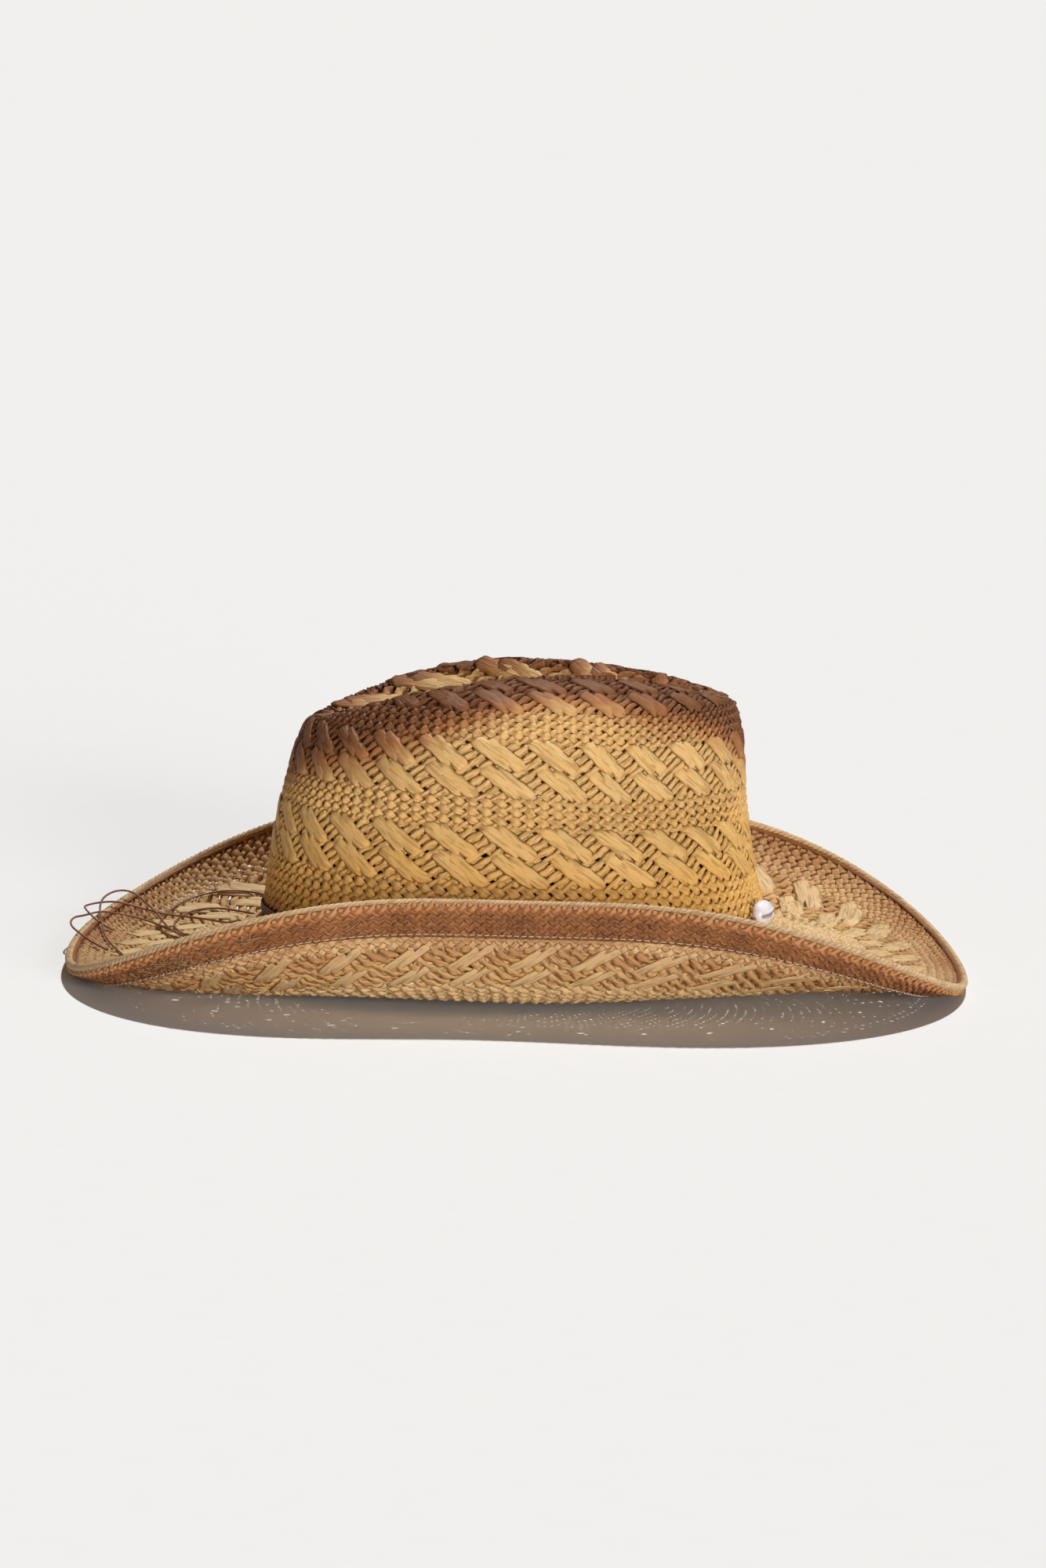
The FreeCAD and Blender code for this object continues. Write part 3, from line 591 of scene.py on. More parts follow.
def make_cord(name, points, material):
    """One free cord: a smooth spline through the route, as thick as the real cord."""
    data = bpy.data.curves.new(name, "CURVE")
    data.dimensions = "3D"
    spline = data.splines.new("NURBS")
    spline.points.add(len(points) - 1)
    for point, place in zip(spline.points, points):
        point.co = (*place, 1.0)
    spline.order_u = 3
    spline.use_endpoint_u = True
    spline.resolution_u = 12
    data.bevel_depth = CORD_DIAMETER / 2.0
    data.bevel_resolution = 3
    data.use_fill_caps = True
    data.materials.append(material)
    piece = bpy.data.objects.new(name, data)
    bpy.context.collection.objects.link(piece)
    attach(piece, "hatband")
    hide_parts(name)


# ---------------------------------------------------------------- the weave

STRANDS = 104          # strands of each family round the crown


class Zone:
    """A band of the weave: its rows, their height, and its own look."""

    def __init__(self, rows, pitch, floats=0.0, twist=0.0):
        self.rows = rows
        self.pitch = pitch
        self.floats = floats        # 1 where pairs of flat strands float over the thin ones
        self.twist = twist          # 1 where the strands are twisted like rope


def zone_ends(zones):
    """The rows, and the distances along the straw, at which zones start and stop."""
    edges = np.concatenate([[0.0], np.cumsum([zone.rows for zone in zones])])
    arcs = np.concatenate([[0.0], np.cumsum([zone.rows * zone.pitch for zone in zones])])
    return edges, arcs


class Sheet:
    """A woven surface: rows count away from its start, and a place says where a row lies.

    limits gives the least and greatest distances along the straw at a turn; a strand starts and
    stops where it crosses them.
    """

    def __init__(self, zones, strands, place, total=None, limits=None, fill=0.56):
        self.zones = zones
        self.strands = strands
        self.fill = fill            # width of the thin strands over the room that they have
        self.edges, arcs = zone_ends(zones)
        self.rows = self.edges[-1]
        self.arcs = arcs * (total / arcs[-1] if total else 1.0)
        self.place = place
        self.limits = limits

    def arc(self, row):
        """Distance along the straw of a row."""
        return np.interp(row, self.edges, self.arcs)

    def look(self, row, key):
        """A zone's property at a row, blended over the joins between zones."""
        value = np.zeros_like(row)
        weight = np.zeros_like(row)
        for zone, low, high in zip(self.zones, self.edges, self.edges[1:]):
            inside = np.minimum(row - low, high - row)
            share = np.clip(inside / 0.35 + 0.5, 0.0, 1.0)
            value += share * getattr(zone, key)
            weight += share
        return value / np.maximum(weight, 1e-6)

    def half(self, row):
        """1 in the outer half of a floating zone and -1 in its inner half."""
        value = np.zeros_like(row)
        for zone, low, high in zip(self.zones, self.edges, self.edges[1:]):
            if zone.floats:
                middle = (low + high) / 2.0
                inside = (row >= low - 0.5) & (row <= high + 0.5)
                value = np.where(inside, np.tanh((row - middle) * 5.0), value)
        return value

    def row_range(self, numbers, climb):
        """The first and last rows of each strand."""
        if self.limits is None:
            return np.zeros(len(numbers)), np.full(len(numbers), float(self.rows))
        rows = np.linspace(0.0, self.rows, 700)
        turn = FULL_TURN * (numbers[:, None] + climb * rows) / self.strands
        low, high = self.limits(turn)
        arc = self.arc(rows)[None, :]
        started = arc >= low
        ended = arc >= high
        last = np.where(ended.any(axis=1), ended.argmax(axis=1), len(rows) - 1)
        return rows[started.argmax(axis=1)], rows[last]


def pair_sign(number):
    """1 for pairs of strands that float in the outer half of a zone, smooth between strands."""
    return np.tanh(3.4 * np.cos(math.pi / 2.0 * (number - 0.5)))


LIFT = 0.70            # height of a strand above or below the middle of the weave
FLOAT_LIFT = 1.25      # the same where flat strands float on top
SAMPLES = 8            # rings of points along a strand for each row


def weave_family(sheet, flat, numbers, upside):
    """Centres, section axes and looks of one family of strands.

    The flat strands climb to the left and the thin ones to the right, seen from outside;
    upside is 1 where rows count up the crown and -1 where they count out along the brim.
    """
    climb = (-1.0 if flat else 1.0) * upside
    start, stop = sheet.row_range(numbers, climb)
    count = int(round((stop - start).max() * SAMPLES)) + 1
    row = start[:, None] + (stop - start)[:, None] * np.linspace(0.0, 1.0, count)
    number = numbers[:, None] * np.ones_like(row)
    turn = FULL_TURN * (number + climb * row) / sheet.strands
    step_turn, step_row = 0.02, 0.04

    def at(turn, row):
        return sheet.place(turn, sheet.arc(row))

    centre = at(turn, row)
    round_step = (at(turn + step_turn, row) - at(turn - step_turn, row)) / (2.0 * step_turn)
    round_step *= FULL_TURN / sheet.strands
    up_step = (at(turn, row + step_row) - at(turn, row - step_row)) / (2.0 * step_row)
    normal = unit(np.cross(round_step, up_step)) * upside
    ahead = unit(up_step + climb * round_step)
    side = unit(np.cross(normal, ahead))
    round_size = np.linalg.norm(round_step, axis=-1)
    up_size = np.linalg.norm(up_step, axis=-1)
    spacing = round_size * up_size / np.hypot(round_size, up_size)
    floats = sheet.look(row, "floats")
    twist = sheet.look(row, "twist")
    crossing = number if flat else number + 2.0 * climb * row
    fine = np.cos(FULL_TURN * row)
    coarse = sheet.half(row) * pair_sign(crossing)
    over = (1.0 - floats) * fine + floats * coarse
    on_top = floats if flat else -0.15 * floats
    lift = LIFT + (FLOAT_LIFT - LIFT) * on_top * (over > 0.0)
    height = lift * (over if flat else -over)
    pace = np.linalg.norm(np.diff(centre, axis=1, prepend=centre[:, :1]), axis=-1)
    along = np.cumsum(pace, axis=1)
    return {
        "row": row, "turn": turn, "centre": centre, "normal": normal, "side": side,
        "spacing": spacing, "floats": floats, "twist": twist, "height": height,
        "over": over if flat else -over, "along": along, "number": number,
    }


def weave_piece(name, sheet, flat, numbers, upside, tint, material):
    """One mesh of strands of one family."""
    f = weave_family(sheet, flat, numbers, upside)
    strands, rings = f["row"].shape
    draw = CHANCE.uniform(0.0, 1.0, (strands, 1, 4))
    phase = draw[..., 0] * FULL_TURN
    shown = np.clip(f["over"], 0.0, 1.0)
    rope = f["twist"] * (1.0 - f["floats"])
    wander = (0.16 * np.sin(f["along"] * 0.31 + phase)
              + 0.12 * np.sin(f["along"] * 0.13 + 2.0 * phase))
    if flat:
        odd = np.where(f["number"] % 2.0 == 0.0, 1.0, -1.0)
        gather = f["floats"] * (0.34 + 0.10 * (1.0 - shown))
        wander = wander - odd * upside * gather * f["spacing"] * 0.5
        width = f["spacing"] * (0.92 + 0.44 * shown * (1.0 - f["floats"])
                                + 0.95 * f["floats"] * shown ** 0.35)
        width *= (0.94 + 0.12 * draw[..., 1]) * (1.0 - 0.30 * rope)
        width *= 1.0 + 0.07 * np.sin(f["along"] * 0.9 + phase * 3.0)
        thick = 0.48 + 0.70 * shown * (1.0 - 0.5 * f["floats"]) + 0.25 * rope
        across = np.array([-1.0, -0.62, 0.0, 0.62, 1.0, 0.6, -0.6])
        crown = np.array([-0.1, 0.72, 1.0, 0.72, -0.1, -0.7, -0.7])
        still = np.zeros_like(f["along"])
        crumple = np.stack([
            still,
            0.13 * np.sin(f["along"] * 0.55 + phase),
            -0.16 * (0.6 + 0.4 * np.sin(f["along"] * 0.38 + 2.2 * phase)),
            0.13 * np.sin(f["along"] * 0.47 + 4.0 * phase),
            still, still, still,
        ], axis=-1)
        side_part = width[..., None] / 2.0 * across
        up_part = thick[..., None] * crown * 0.8 + crumple * (1.0 - 0.7 * rope[..., None])
    else:
        wide = sheet.fill + (0.84 - sheet.fill) * f["floats"]
        width = f["spacing"] * (wide + 0.12 * draw[..., 1]) * (1.0 + 0.16 * rope)
        thick = 0.66 + 0.35 * rope
        angle = FULL_TURN * np.arange(5) / 5.0
        turned = f["along"] * FULL_TURN / 6.5 + phase
        tall = np.maximum(width * 0.36, 0.34)
        flat_side = width[..., None] / 2.0 * np.cos(angle)
        flat_up = np.minimum(tall, thick)[..., None] * np.sin(angle)
        rock = 0.55 * np.sin(turned)[..., None]
        side_part = flat_side * np.cos(rock) - flat_up * np.sin(rock)
        up_part = flat_side * np.sin(rock) + flat_up * np.cos(rock)
        across = np.cos(angle)
    centre = f["centre"] + f["side"] * wander[..., None] + f["normal"] * f["height"][..., None]
    points = swept_points(centre, f["side"], f["normal"], side_part, up_part)
    sides = side_part.shape[-1]
    quads, caps = tube_faces(strands, rings, sides)
    strand = stacked(across * np.ones_like(side_part) * (width[..., None] / 2.0),
                     f["along"][..., None], draw[..., 2:3] * 5.0)
    scorch_and_shade, gold = tint(f["turn"], f["row"], f["floats"], flat)
    # painted shade: where a strand passes under the other family it is darkened by up to 0.10 more,
    # for the shade between the strands; the last term is random tone
    scorch_and_shade = scorch_and_shade + 0.10 * (0.5 - 0.5 * f["over"]) + 0.05 * (draw[..., 3] - 0.5)
    twisted = rope * 2.4 + (0.0 if flat else 1.2)
    colours = stacked(np.clip(scorch_and_shade, 0.0, 1.0)[..., None] * np.ones_like(side_part),
                      gold[..., None], twisted[..., None])
    return mesh_piece(name, points, quads, "hat", material,
                      {"strand": strand, "tint": colours}, caps)


def smooth_step(value, low, high):
    """0 below low, 1 above high, and smooth between."""
    share = np.clip((value - low) / (high - low), 0.0, 1.0)
    return share * share * (3.0 - 2.0 * share)


# rows of the crown, from the lowest part of its foot up over the ridge
CROWN_ZONES = [
    Zone(11, 4.15), Zone(5, 4.1, floats=1.0), Zone(4, 3.7), Zone(5, 4.1, floats=1.0),
    Zone(4, 3.8), Zone(5, 4.1, floats=1.0), Zone(5, 4.2),
]
TIP_ZONES = [Zone(5, 4.5, floats=1.0), Zone(6, 4.6)]
BRIM_ZONES = [Zone(10, 4.5, twist=1.0), Zone(4, 5.2, floats=1.0)]
EDGE_ZONES = [Zone(5, 3.5)]
BRIM_STRANDS, EDGE_STRANDS, HEM_STRANDS = 152, 224, 232
INNER_SHARE = 0.80      # of the brim's width; the fine edge takes the rest
BAND_TILT = -0.008      # the bands of the crown's weave rise very slightly towards the back


CROWN_EDGES, CROWN_ARCS = zone_ends(CROWN_ZONES)


def share_of(row, zones):
    """How far a row lies through its zones: 0 at their start and 1 at their end."""
    return row / sum(zone.rows for zone in zones)


def crown_tables():
    """The crown's level at a turn and a distance up the straw, and the distance to the ridge."""
    turns = FULL_TURN * np.arange(360) / 360
    grid = np.linspace(0.0, 1.3, 521)
    points = crown_point(turns[:, None], grid[None, :])
    steps = np.linalg.norm(np.diff(points, axis=1), axis=-1)
    arcs = np.concatenate([np.zeros((len(turns), 1)), np.cumsum(steps, axis=1)], axis=1)
    even = np.arange(0.0, 180.0, 0.5)
    levels = np.array([np.interp(even, arc, grid) for arc in arcs])
    to_ridge = np.array([np.interp(1.05, grid, arc) for arc in arcs])
    return even, levels, to_ridge


CROWN_EVEN, CROWN_LEVELS, TO_RIDGE = crown_tables()


def foot_rise(turn):
    """How far the crown's foot lies above the lowest row of the weave."""
    x, _ = oval(turn, 0.0)
    return round_the_hat(FOOT_HEIGHT, turn) - 3.0 - BAND_TILT * x


def crown_place(turn, arc):
    """A point of the crown's wall, a distance up the straw from the lowest row."""
    around = (turn / FULL_TURN % 1.0) * 360.0
    up = np.clip((arc - foot_rise(turn)) / (CROWN_EVEN[1] - CROWN_EVEN[0]), 0.0,
                 len(CROWN_EVEN) - 1.001)
    i, j = around.astype(int) % 360, up.astype(int)
    p, q = around - np.floor(around), up - j
    after = (i + 1) % 360
    level = ((CROWN_LEVELS[i, j] * (1.0 - q) + CROWN_LEVELS[i, j + 1] * q) * (1.0 - p)
             + (CROWN_LEVELS[after, j] * (1.0 - q) + CROWN_LEVELS[after, j + 1] * q) * p)
    return crown_point(turn, level)


def ridge_arc(turn):
    """The distance up the straw from the crown's foot to its ridge."""
    around = (turn / FULL_TURN % 1.0) * 360.0
    return np.interp(around, np.arange(361), np.append(TO_RIDGE, TO_RIDGE[0]))


def crown_limits(turn):
    """Where the crown's strands start and stop."""
    rise = foot_rise(turn)
    return rise + 0.3, rise + ridge_arc(turn)


def tip_place(turn, arc):
    """A point of the tip; its distances are shares of the way to the crease."""
    return crown_point(turn, 1.03 + 0.90 * arc)


def inner_brim_place(turn, arc):
    """A point of the inner brim; its distances are shares of the brim's width."""
    return brim_point(turn, 1.4 + (brim_width(turn) - 2.6) * arc)


def crown_tint(turn, row, floats, flat):
    """Scorch under the ridge, painted shade at the foot of the wall towards the back, and gold low
    on the wall.
    """
    arc = np.interp(row, CROWN_EDGES, CROWN_ARCS) - foot_rise(turn)
    below = ridge_arc(turn) - arc
    backward = 0.5 - 0.5 * np.cos(turn)
    reach = 39.0 + 4.0 * np.sin(turn * 2.0 + 0.6) + 3.0 * np.sin(turn * 5.0)
    scorch_and_shade = (1.0 - smooth_step(below, 16.0, reach + 3.0)) * 0.96
    # painted shade: the lowest part of the wall towards the back is darkened, for the shade at the
    # crown's foot
    foot = (1.0 - smooth_step(arc, 2.0, 16.0)) * smooth_step(backward, 0.6, 1.0) * 0.55
    gold = 1.0 - smooth_step(arc, 15.0, 75.0)
    return np.clip(scorch_and_shade * (0.92 if flat else 1.0) + foot, 0.0, 1.0), 0.15 + 0.80 * gold


def tip_tint(turn, row, floats, flat):
    """Scorch along the ridge that fades into the crease."""
    share = share_of(row, TIP_ZONES)
    scorch_and_shade = 0.80 * (1.0 - smooth_step(share, 0.0, 0.16))
    return scorch_and_shade * np.ones_like(row), 0.1 * np.ones_like(row)


def brim_tint(turn, row, floats, flat):
    """Pale near the crown, scorched towards the edge; the floats stay paler than the rest."""
    share = share_of(row, BRIM_ZONES)
    scorch_and_shade = smooth_step(share, 0.80, 1.05) * 0.22
    scorch_and_shade = scorch_and_shade * (1.0 - 0.5 * floats) if flat else scorch_and_shade + 0.13 * floats
    return scorch_and_shade, np.full_like(row, 0.04) if flat else 0.08 + 0.45 * floats


def edge_tint(turn, row, floats, flat):
    """The scorched outer edge of the brim."""
    share = share_of(row, EDGE_ZONES)
    uneven = 0.05 * np.sin(turn * 7.0) + 0.04 * np.sin(turn * 17.0)
    return 0.16 + uneven + 0.22 * smooth_step(share, 0.0, 1.0), 0.05 * np.ones_like(row)


def weave_in_parts(label, sheet, upside, tint, parts, material):
    """Both families of a sheet, each cut into pieces of neighbouring strands."""
    made = []
    for flat, word in ((True, "flat"), (False, "thin")):
        groups = np.array_split(np.arange(sheet.strands, dtype=np.float64), parts)
        for k, numbers in enumerate(groups):
            name = "%s_%s_straw_%d" % (label, word, k + 1)
            piece = weave_piece(name, sheet, flat, numbers, upside, tint, material)
            made.append(piece)
    return made


def make_crown():
    """The woven wall of the crown and its creased tip."""
    straw = straw_material("straw_crown", through=0.28)
    wall = Sheet(CROWN_ZONES, STRANDS, crown_place, limits=crown_limits)
    for piece in weave_in_parts("crown_side", wall, 1.0, crown_tint, 3, straw):
        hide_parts("crown_side")
    tip = Sheet(TIP_ZONES, STRANDS // 2, tip_place, total=1.0, fill=0.80)
    for piece in weave_in_parts("crown_tip", tip, 1.0, tip_tint, 1, straw):
        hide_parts("crown_tip")


def make_brim():
    """The woven brim: rope-like straw near the crown, floats, and a fine scorched edge."""
    straw = straw_material("straw_brim", pale=(0.99, 0.81, 0.50, 1.0), deep=(0.94, 0.64, 0.28, 1.0),
                           through=0.32)
    inner = Sheet(BRIM_ZONES, BRIM_STRANDS, inner_brim_place, total=INNER_SHARE, fill=0.86)
    pieces = weave_in_parts("brim", inner, -1.0, brim_tint, 2, straw)
    outer = Sheet(EDGE_ZONES, EDGE_STRANDS,
                  lambda turn, arc: inner_brim_place(turn, INNER_SHARE - 0.01 + arc),
                  total=1.01 - INNER_SHARE)
    pieces += weave_in_parts("brim_edge", outer, -1.0, edge_tint, 2, straw)
    for piece in pieces:
        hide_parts("brim")


# ---------------------------------------------------------------- hem

HEM_WIDTH = 12.0
HEM_STITCHES, BAND_STITCHES = 330, 190
EDGE_ROUND = 1070.0     # about the length of the brim's edge, which spaces the fibres of its straw


def make_hem():
    """The turned strip under the edge: a skin, and the narrow dark plait that it is made of."""
    rings = 1440
    turn = FULL_TURN * np.arange(rings) / rings
    width = brim_width(turn)
    below = HALF_STRAW + 0.15
    under = [(-HEM_WIDTH * share, -below - 0.55) for share in np.linspace(1.0, 0.0, 7)]
    fold = [(0.6, -below - 0.4), (1.1, -below + 0.4), (1.2, 0.0), (0.9, below - 0.2)]
    lip = [(0.3, below + 0.35), (-0.7, below + 0.45), (-1.8, below + 0.1)]
    back = [(-1.7, below - 0.05), (0.2, below - 0.2), (0.4, 0.0), (0.2, -below)]
    back += [(-HEM_WIDTH * share, -below) for share in (0.33, 0.66, 1.0)]
    section = np.array(under + fold + lip + back)
    points = brim_point(turn[:, None], width[:, None] + section[:, 0], section[:, 1])
    quads, _ = tube_faces(1, rings, len(section), True)
    ones = np.ones_like(points[..., 0])
    strand = stacked(section[:, 0] * ones, turn[:, None] / FULL_TURN * EDGE_ROUND, 0.3)
    hem_straw = straw_material("hem_straw", pale=(0.70, 0.40, 0.19, 1.0),
                               deep=(0.46, 0.21, 0.08, 1.0), through=0.10)
    skin = mesh_piece("hem_skin", points, quads, "hat", hem_straw,
                      {"strand": strand, "tint": stacked(0.8 * ones, 0.0, 0.0)})
    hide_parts("brim_hem")

    def under_place(turn, arc):
        return brim_point(turn, brim_width(turn) + 0.8 - arc, -HALF_STRAW - 0.40)

    plait = Sheet([Zone(4, 3.1, twist=0.8)], HEM_STRANDS, under_place)
    for piece in weave_in_parts("hem", plait, 1.0, hem_tint, 2, hem_straw):
        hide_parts("brim_hem")
    make_edge_rope()


def hem_tint(turn, row, floats, flat):
    """The dark plait of the hem, lighter at the fold and darker further in under the brim."""
    uneven = 0.04 * np.sin(turn * 23.0) + 0.04 * np.sin(turn * 61.0 + 1.0)
    return 0.36 + uneven + 0.38 * smooth_step(row, 0.3, 1.4), np.zeros_like(row)


def make_edge_rope():
    """Three plies of light straw twisted along the very edge."""
    rings, plies = 2600, 3
    turn = FULL_TURN * np.arange(rings) / rings
    width = brim_width(turn)
    lines = []
    for ply in range(plies):
        twist = turn * 170.0 + FULL_TURN * ply / plies
        lines.append(brim_point(turn, width + 1.1 + 0.75 * np.cos(twist),
                                0.7 + 0.75 * np.sin(twist)))
    rope_straw = straw_material("rope_straw", pale=(0.95, 0.76, 0.50, 1.0),
                                deep=(0.74, 0.48, 0.24, 1.0))
    rope = round_tubes("edge_rope", lines, 0.92, "hat", rope_straw, 6, True)
    paint(rope, [0.06, 0.0, 0.6])
    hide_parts("brim_hem")


def make_stitches(name, count, place, radius, lift, node, material):
    """A row of single stitches: each dips into the cloth at its two ends."""
    steps = np.linspace(0.0, 1.0, 7)
    lines = []
    for k in range(count):
        share = (k + 0.5 + (steps - 0.5) * 0.72) / count
        rise = lift * (1.0 - (2.0 * steps - 1.0) ** 4) - 0.25
        lines.append(place(FULL_TURN * share, rise))
    row = round_tubes(name, lines, radius, "hat", material, 6)
    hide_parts(node)


def make_threads():
    """The machine stitches of the hem and of the sweatband."""
    thread = thread_material()
    hem_under = HALF_STRAW + 1.75

    def on_hem(turn, rise):
        return brim_point(turn, brim_width(turn) - HEM_WIDTH + 1.6, -hem_under - rise)

    make_stitches("hem_stitches", HEM_STITCHES, on_hem, 0.2, 0.5, "hem_stitching", thread)

    def on_band(turn, rise):
        return wall_out(turn, 3.0, -(HALF_STRAW + 0.3 + 0.9) - rise)

    make_stitches("sweatband_stitches", BAND_STITCHES, on_band, 0.22, 0.4, "sweatband_stitching",
                  thread)


# ---------------------------------------------------------------- inside

BAND_HEIGHT = 28.0
BAND_IN = HALF_STRAW + 0.3


def wall_cloth(name, turns, heights, near, thickness, material, node, closed, puff=0.0):
    """A strip of cloth on the inner side of the wall: two skins and the edges between them."""
    heights = np.asarray(heights)
    bulge = puff * np.sin(np.linspace(0.0, math.pi, len(heights)))
    outer = wall_out(turns[:, None], heights[None, :], -near)
    inner = wall_out(turns[:, None], heights[None, ::-1], -near - thickness - bulge[::-1])
    points = np.concatenate([outer, inner], axis=1)
    sides = points.shape[1]
    quads, caps = tube_faces(1, len(turns), sides, closed)
    speed = math.sqrt((OVAL[0] ** 2 + OVAL[1] ** 2) / 2.0)
    both = np.concatenate([heights, heights[::-1]])
    strand = stacked(both[None, :] * np.ones((len(turns), 1)), (turns * speed)[:, None], 0.0)
    piece = mesh_piece(name, points, quads, "hat", material, {"strand": strand}, caps)
    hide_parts(node)
    return piece


def make_inside():
    """Sweatband of ribbed ribbon, the cover of its join and a plain label."""
    ribbon = cloth_material("grosgrain", (0.035, 0.022, 0.016, 1.0), (0.11, 0.075, 0.055, 1.0),
                            2.4, 0.00025)
    turns = FULL_TURN * np.arange(360) / 360
    heights = np.linspace(0.6, BAND_HEIGHT, 12)
    band = wall_cloth("sweatband_ribbon", turns, heights, BAND_IN, 0.9, ribbon, "sweatband",
                      True, 0.15)
    around = math.pi + np.linspace(-0.08, 0.08, 15)
    wall_cloth("sweatband_join", around, np.linspace(4.2, 27.5, 8), BAND_IN + 1.02, 0.6, ribbon,
               "sweatband_join_patch", False, 0.1)
    woven = cloth_material("label_cloth", (0.62, 0.58, 0.50, 1.0), (0.82, 0.79, 0.72, 1.0),
                           6.0, 0.0001)
    around = math.pi + 0.36 + np.linspace(-0.12, 0.12, 15)
    wall_cloth("label", around, np.linspace(10.5, 21.5, 6), BAND_IN + 1.1, 0.4, woven,
               "size_label", False, 0.05)


# ---------------------------------------------------------------- hatband

CORD_RADIUS = 0.45
SHELL_TURN = -0.30
TURN_OUT = HALF_STRAW + 0.35 + CORD_RADIUS
TURN_HEIGHTS = {"lower": 3.4, "middle": 4.5, "upper": 5.6}
KNOT_DEGREES = {"right": 207.0, "left": 148.0}
UP = np.array([0.0, 0.0, 1.0])


def make_turns(cord):
    """Three rounds of the cord at the crown's foot, each a little uneven."""
    turn = FULL_TURN * np.arange(900) / 900
    for k, (word, height) in enumerate(TURN_HEIGHTS.items()):
        waver = 0.12 * np.sin(turn * 13.0 + k * 2.0) + 0.08 * np.sin(turn * 29.0 + k)
        line = wall_out(turn, height + waver, TURN_OUT + 0.05 * np.sin(turn * 17.0 + k))
        piece = round_tubes("band_cord_" + word, line, CORD_RADIUS, "hatband", cord, 10, True)
        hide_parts("hatband_turn_" + word)


def node_centre(node):
    """The middle of a solid part, in millimetres."""
    low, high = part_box(node)
    return (np.array(low) + np.array(high)) / 2.0 / MM


def level_axes(turn):
    """Two level directions at a turn: along the oval of the crown's foot, and outward."""
    step = 0.01
    x, y = np.array(oval(turn + step, 0.0)) - np.array(oval(turn - step, 0.0))
    ahead = unit(np.array([x, y, 0.0]))
    return ahead, np.array([ahead[1], -ahead[0], 0.0])


def line_near(middle, axes, along, outward, upward):
    """A line of points near a middle, from its distances along the two level axes and up."""
    ahead, out = axes
    return middle + np.outer(along, ahead) + np.outer(outward, out) + np.outer(upward, UP)


def make_slip_knot(name, node, turn, cord):
    """A slip knot: the cord wound five times round itself, with its two ends tucked in."""
    middle, axes = node_centre(node), level_axes(turn)
    coils, half_length = 5, 4.0
    share = np.linspace(0.0, 1.0, coils * 28)
    angle = FULL_TURN * coils * share
    swell = 1.45 + 0.12 * np.sin(angle * 0.37 + turn)
    line = line_near(middle, axes, (share - 0.5) * 2.0 * half_length, swell * np.cos(angle),
                     swell * np.sin(angle))
    coil = round_tubes(name + "_coils", line, 0.56, "hatband", cord, 10)
    share = np.linspace(-1.0, 1.0, 24)
    cores = [line_near(middle, axes, share * (half_length + 1.6),
                       0.45 * side + 0.5 * share ** 2 * side, 0.35 * np.sin(share * 3.0) * side)
             for side in (-1.0, 1.0)]
    core = round_tubes(name + "_cores", cores, 0.5, "hatband", cord, 8)
    for piece in (coil, core):
        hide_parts(node)


def make_shell():
    """A cowrie: a smooth egg, flat behind, with a toothed slit along its outer face."""
    low, high = (np.array(corner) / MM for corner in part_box("cowrie_shell"))
    ahead, out = level_axes(SHELL_TURN)
    half_long, half_high, half_deep, flat_behind = 8.5, 5.4, 4.0, -2.0
    middle = (low + high) / 2.0
    middle = middle - out * (half_deep + flat_behind) / 2.0
    rings, sides = 96, 128
    polar = math.pi * (np.arange(rings) + 0.5) / rings
    angle = FULL_TURN * np.arange(sides) / sides
    length = np.cos(polar)[:, None] * np.ones(sides)
    ring = np.sin(polar)[:, None]
    narrow = 1.0 - 0.14 * length
    deep = ring * np.cos(angle) * half_deep * narrow
    high_part = ring * np.sin(angle) * half_high * narrow
    front = np.clip(np.cos(angle), 0.0, 1.0)[None, :] * ring
    bend = 0.5 * np.sin(length * 2.2)
    offset = high_part - bend
    slit = np.exp(-(offset / 0.75) ** 2) * smooth_step(0.92 - np.abs(length), 0.0, 0.2)
    slit = slit * (front > 0.2)
    beside = np.exp(-((np.abs(offset) - 1.35) / 0.6) ** 2) * (front > 0.2)
    teeth = beside * (0.5 + 0.5 * np.cos(length * 44.0))
    teeth = teeth * smooth_step(0.85 - np.abs(length), 0.0, 0.2)
    deep = deep - 1.25 * slit + 0.22 * teeth + 0.18 * beside * front
    deep = np.maximum(deep, flat_behind)
    points = (middle + length[..., None] * half_long * ahead + deep[..., None] * out
              + high_part[..., None] * UP)
    quads, caps = tube_faces(1, rings, sides)
    # the third value is the painted shade of the slit, less on the teeth
    data = stacked(offset * 0.3, length, np.clip(slit * 0.9 - teeth * 0.4, 0.0, 1.0))
    shell = mesh_piece("cowrie", points, quads, "hatband", shell_material(), {"shell": data}, caps)
    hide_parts("cowrie_shell")


def make_shell_knots(cord):
    """A small wound knot at each end of the shell."""
    axes = level_axes(SHELL_TURN)
    for word in ("left", "right"):
        node = "shell_knot_" + word
        share = np.linspace(0.0, 1.0, 64)
        angle = FULL_TURN * 3.0 * share
        line = line_near(node_centre(node), axes, (share - 0.5) * 1.5,
                         (0.85 + 0.15 * np.sin(angle * 0.5)) * np.cos(angle),
                         (0.85 + 0.15 * np.cos(angle * 0.7)) * np.sin(angle))
        piece = round_tubes("shell_thread_" + word, line, 0.42, "hatband", cord, 8)
        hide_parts(node)


def make_hatband():
    """Everything that lifts off with the band of cord."""
    cord = cord_material()
    for name, (far_end, length, points) in CORDS.items():
        make_cord(name, points, cord)
    make_turns(cord)
    for word, degrees in KNOT_DEGREES.items():
        make_slip_knot("knot_" + word, "hatband_knot_" + word, math.radians(degrees), cord)
    make_shell()
    make_shell_knots(cord)


# ---------------------------------------------------------------- loose fibres

NAP_COUNT, FRAYED_COUNT = 2600, 90
EDGE_SPEED = 150.0      # about the millimetres along the brim's edge for one radian of turn
FIBRE_STEPS = np.linspace(0.0, 1.0, 6)


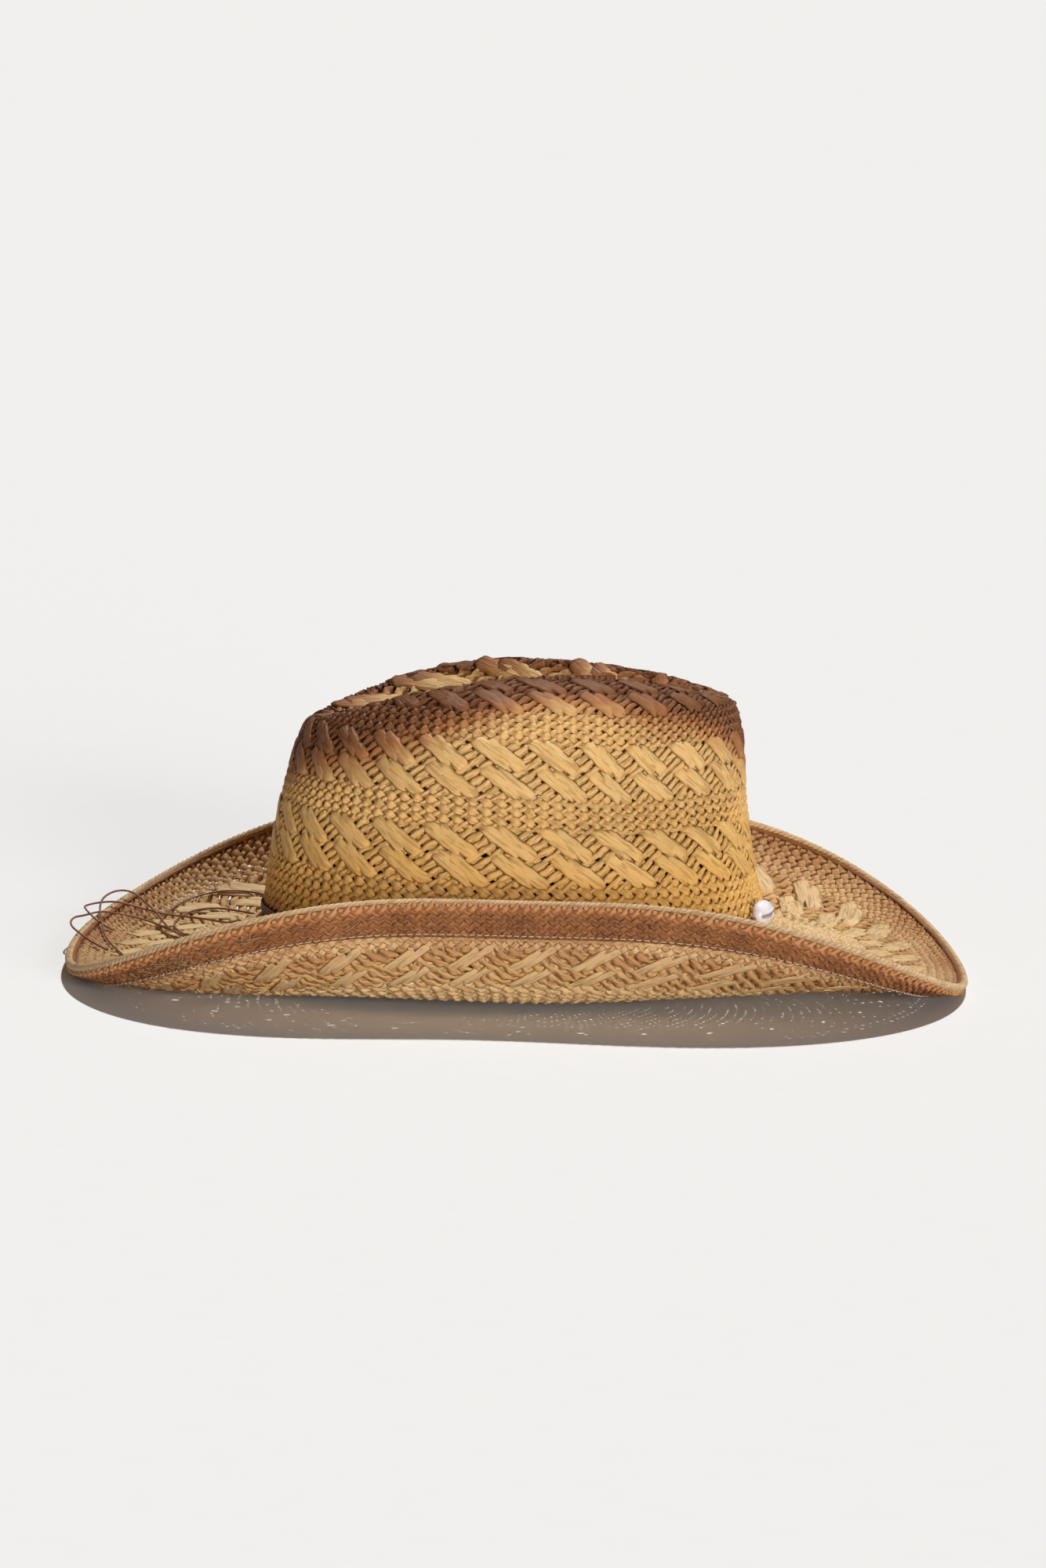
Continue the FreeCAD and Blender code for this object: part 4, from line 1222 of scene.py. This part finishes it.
def loose_fibre(turn, depth, length, heading, above):
    """A fibre from a depth inside the brim's edge; what would dip into the floor lies on it."""
    along = brim_width(turn) - depth + length * FIBRE_STEPS * math.sin(heading)
    around = turn + FIBRE_STEPS * length * math.cos(heading) / EDGE_SPEED
    line = brim_point(around, along, above)
    line[:, 2] = np.maximum(line[:, 2], 0.12)
    return line


def make_fibres():
    """Loose ends of straw under the edge, and the nap of the dark hem."""
    straw = straw_material("loose_straw", pale=(0.80, 0.64, 0.38, 1.0),
                           deep=(0.55, 0.36, 0.16, 1.0))
    lines = []
    for _ in range(NAP_COUNT):
        turn = CHANCE.uniform(0.0, FULL_TURN)
        depth = CHANCE.uniform(0.5, HEM_WIDTH + 1.0)
        heading = CHANCE.uniform(-1.0, 1.0)
        length = CHANCE.uniform(0.8, 2.4)
        lift = CHANCE.uniform(0.2, 1.1)
        lines.append(loose_fibre(turn, depth, length, heading * 1.5,
                                 -HALF_STRAW - 1.3 - lift * np.sin(FIBRE_STEPS * 2.2)))
    nap = round_tubes("hem_nap", lines, 0.06, "hat", straw, 3)
    ends = []
    for _ in range(FRAYED_COUNT):
        turn = math.pi + 0.75 + CHANCE.normal(0.0, 0.12)
        depth = CHANCE.uniform(3.0, 15.0)
        length = CHANCE.uniform(3.0, 9.0)
        heading = CHANCE.uniform(-0.4, 1.2)
        lift = CHANCE.uniform(0.5, 3.0)
        ends.append(loose_fibre(turn, depth, length, heading,
                                -HALF_STRAW - 1.2 - lift * FIBRE_STEPS ** 1.5))
    frayed = round_tubes("frayed_ends", ends, 0.16, "hat", straw, 4)
    for piece, scorch_and_shade in ((nap, 0.62), (frayed, 0.18)):
        paint(piece, [scorch_and_shade, 0.0, 0.0])


# ---------------------------------------------------------------- the parts kept as they are

def dress_kept_parts():
    """Better materials on the solid parts that stay: the wire and its joiner."""
    steel = steel_material()
    for node in ("brim_wire", "brim_wire_joiner"):
        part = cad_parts[node]
        part.data.materials.clear()
        part.data.materials.append(steel)


def make_floor():
    """A wide pale sheet."""
    half = 60.0
    mesh = bpy.data.meshes.new("floor")
    mesh.from_pydata([(-half, -half, 0), (half, -half, 0), (half, half, 0), (-half, half, 0)], [],
                     [(0, 1, 2, 3)])
    mesh.materials.append(floor_material())
    floor = bpy.data.objects.new("floor", mesh)
    bpy.context.collection.objects.link(floor)


make_camera()
make_hatband()
make_lights()
make_floor()
make_crown()
make_brim()
make_hem()
make_threads()
make_inside()
make_fibres()
dress_kept_parts()
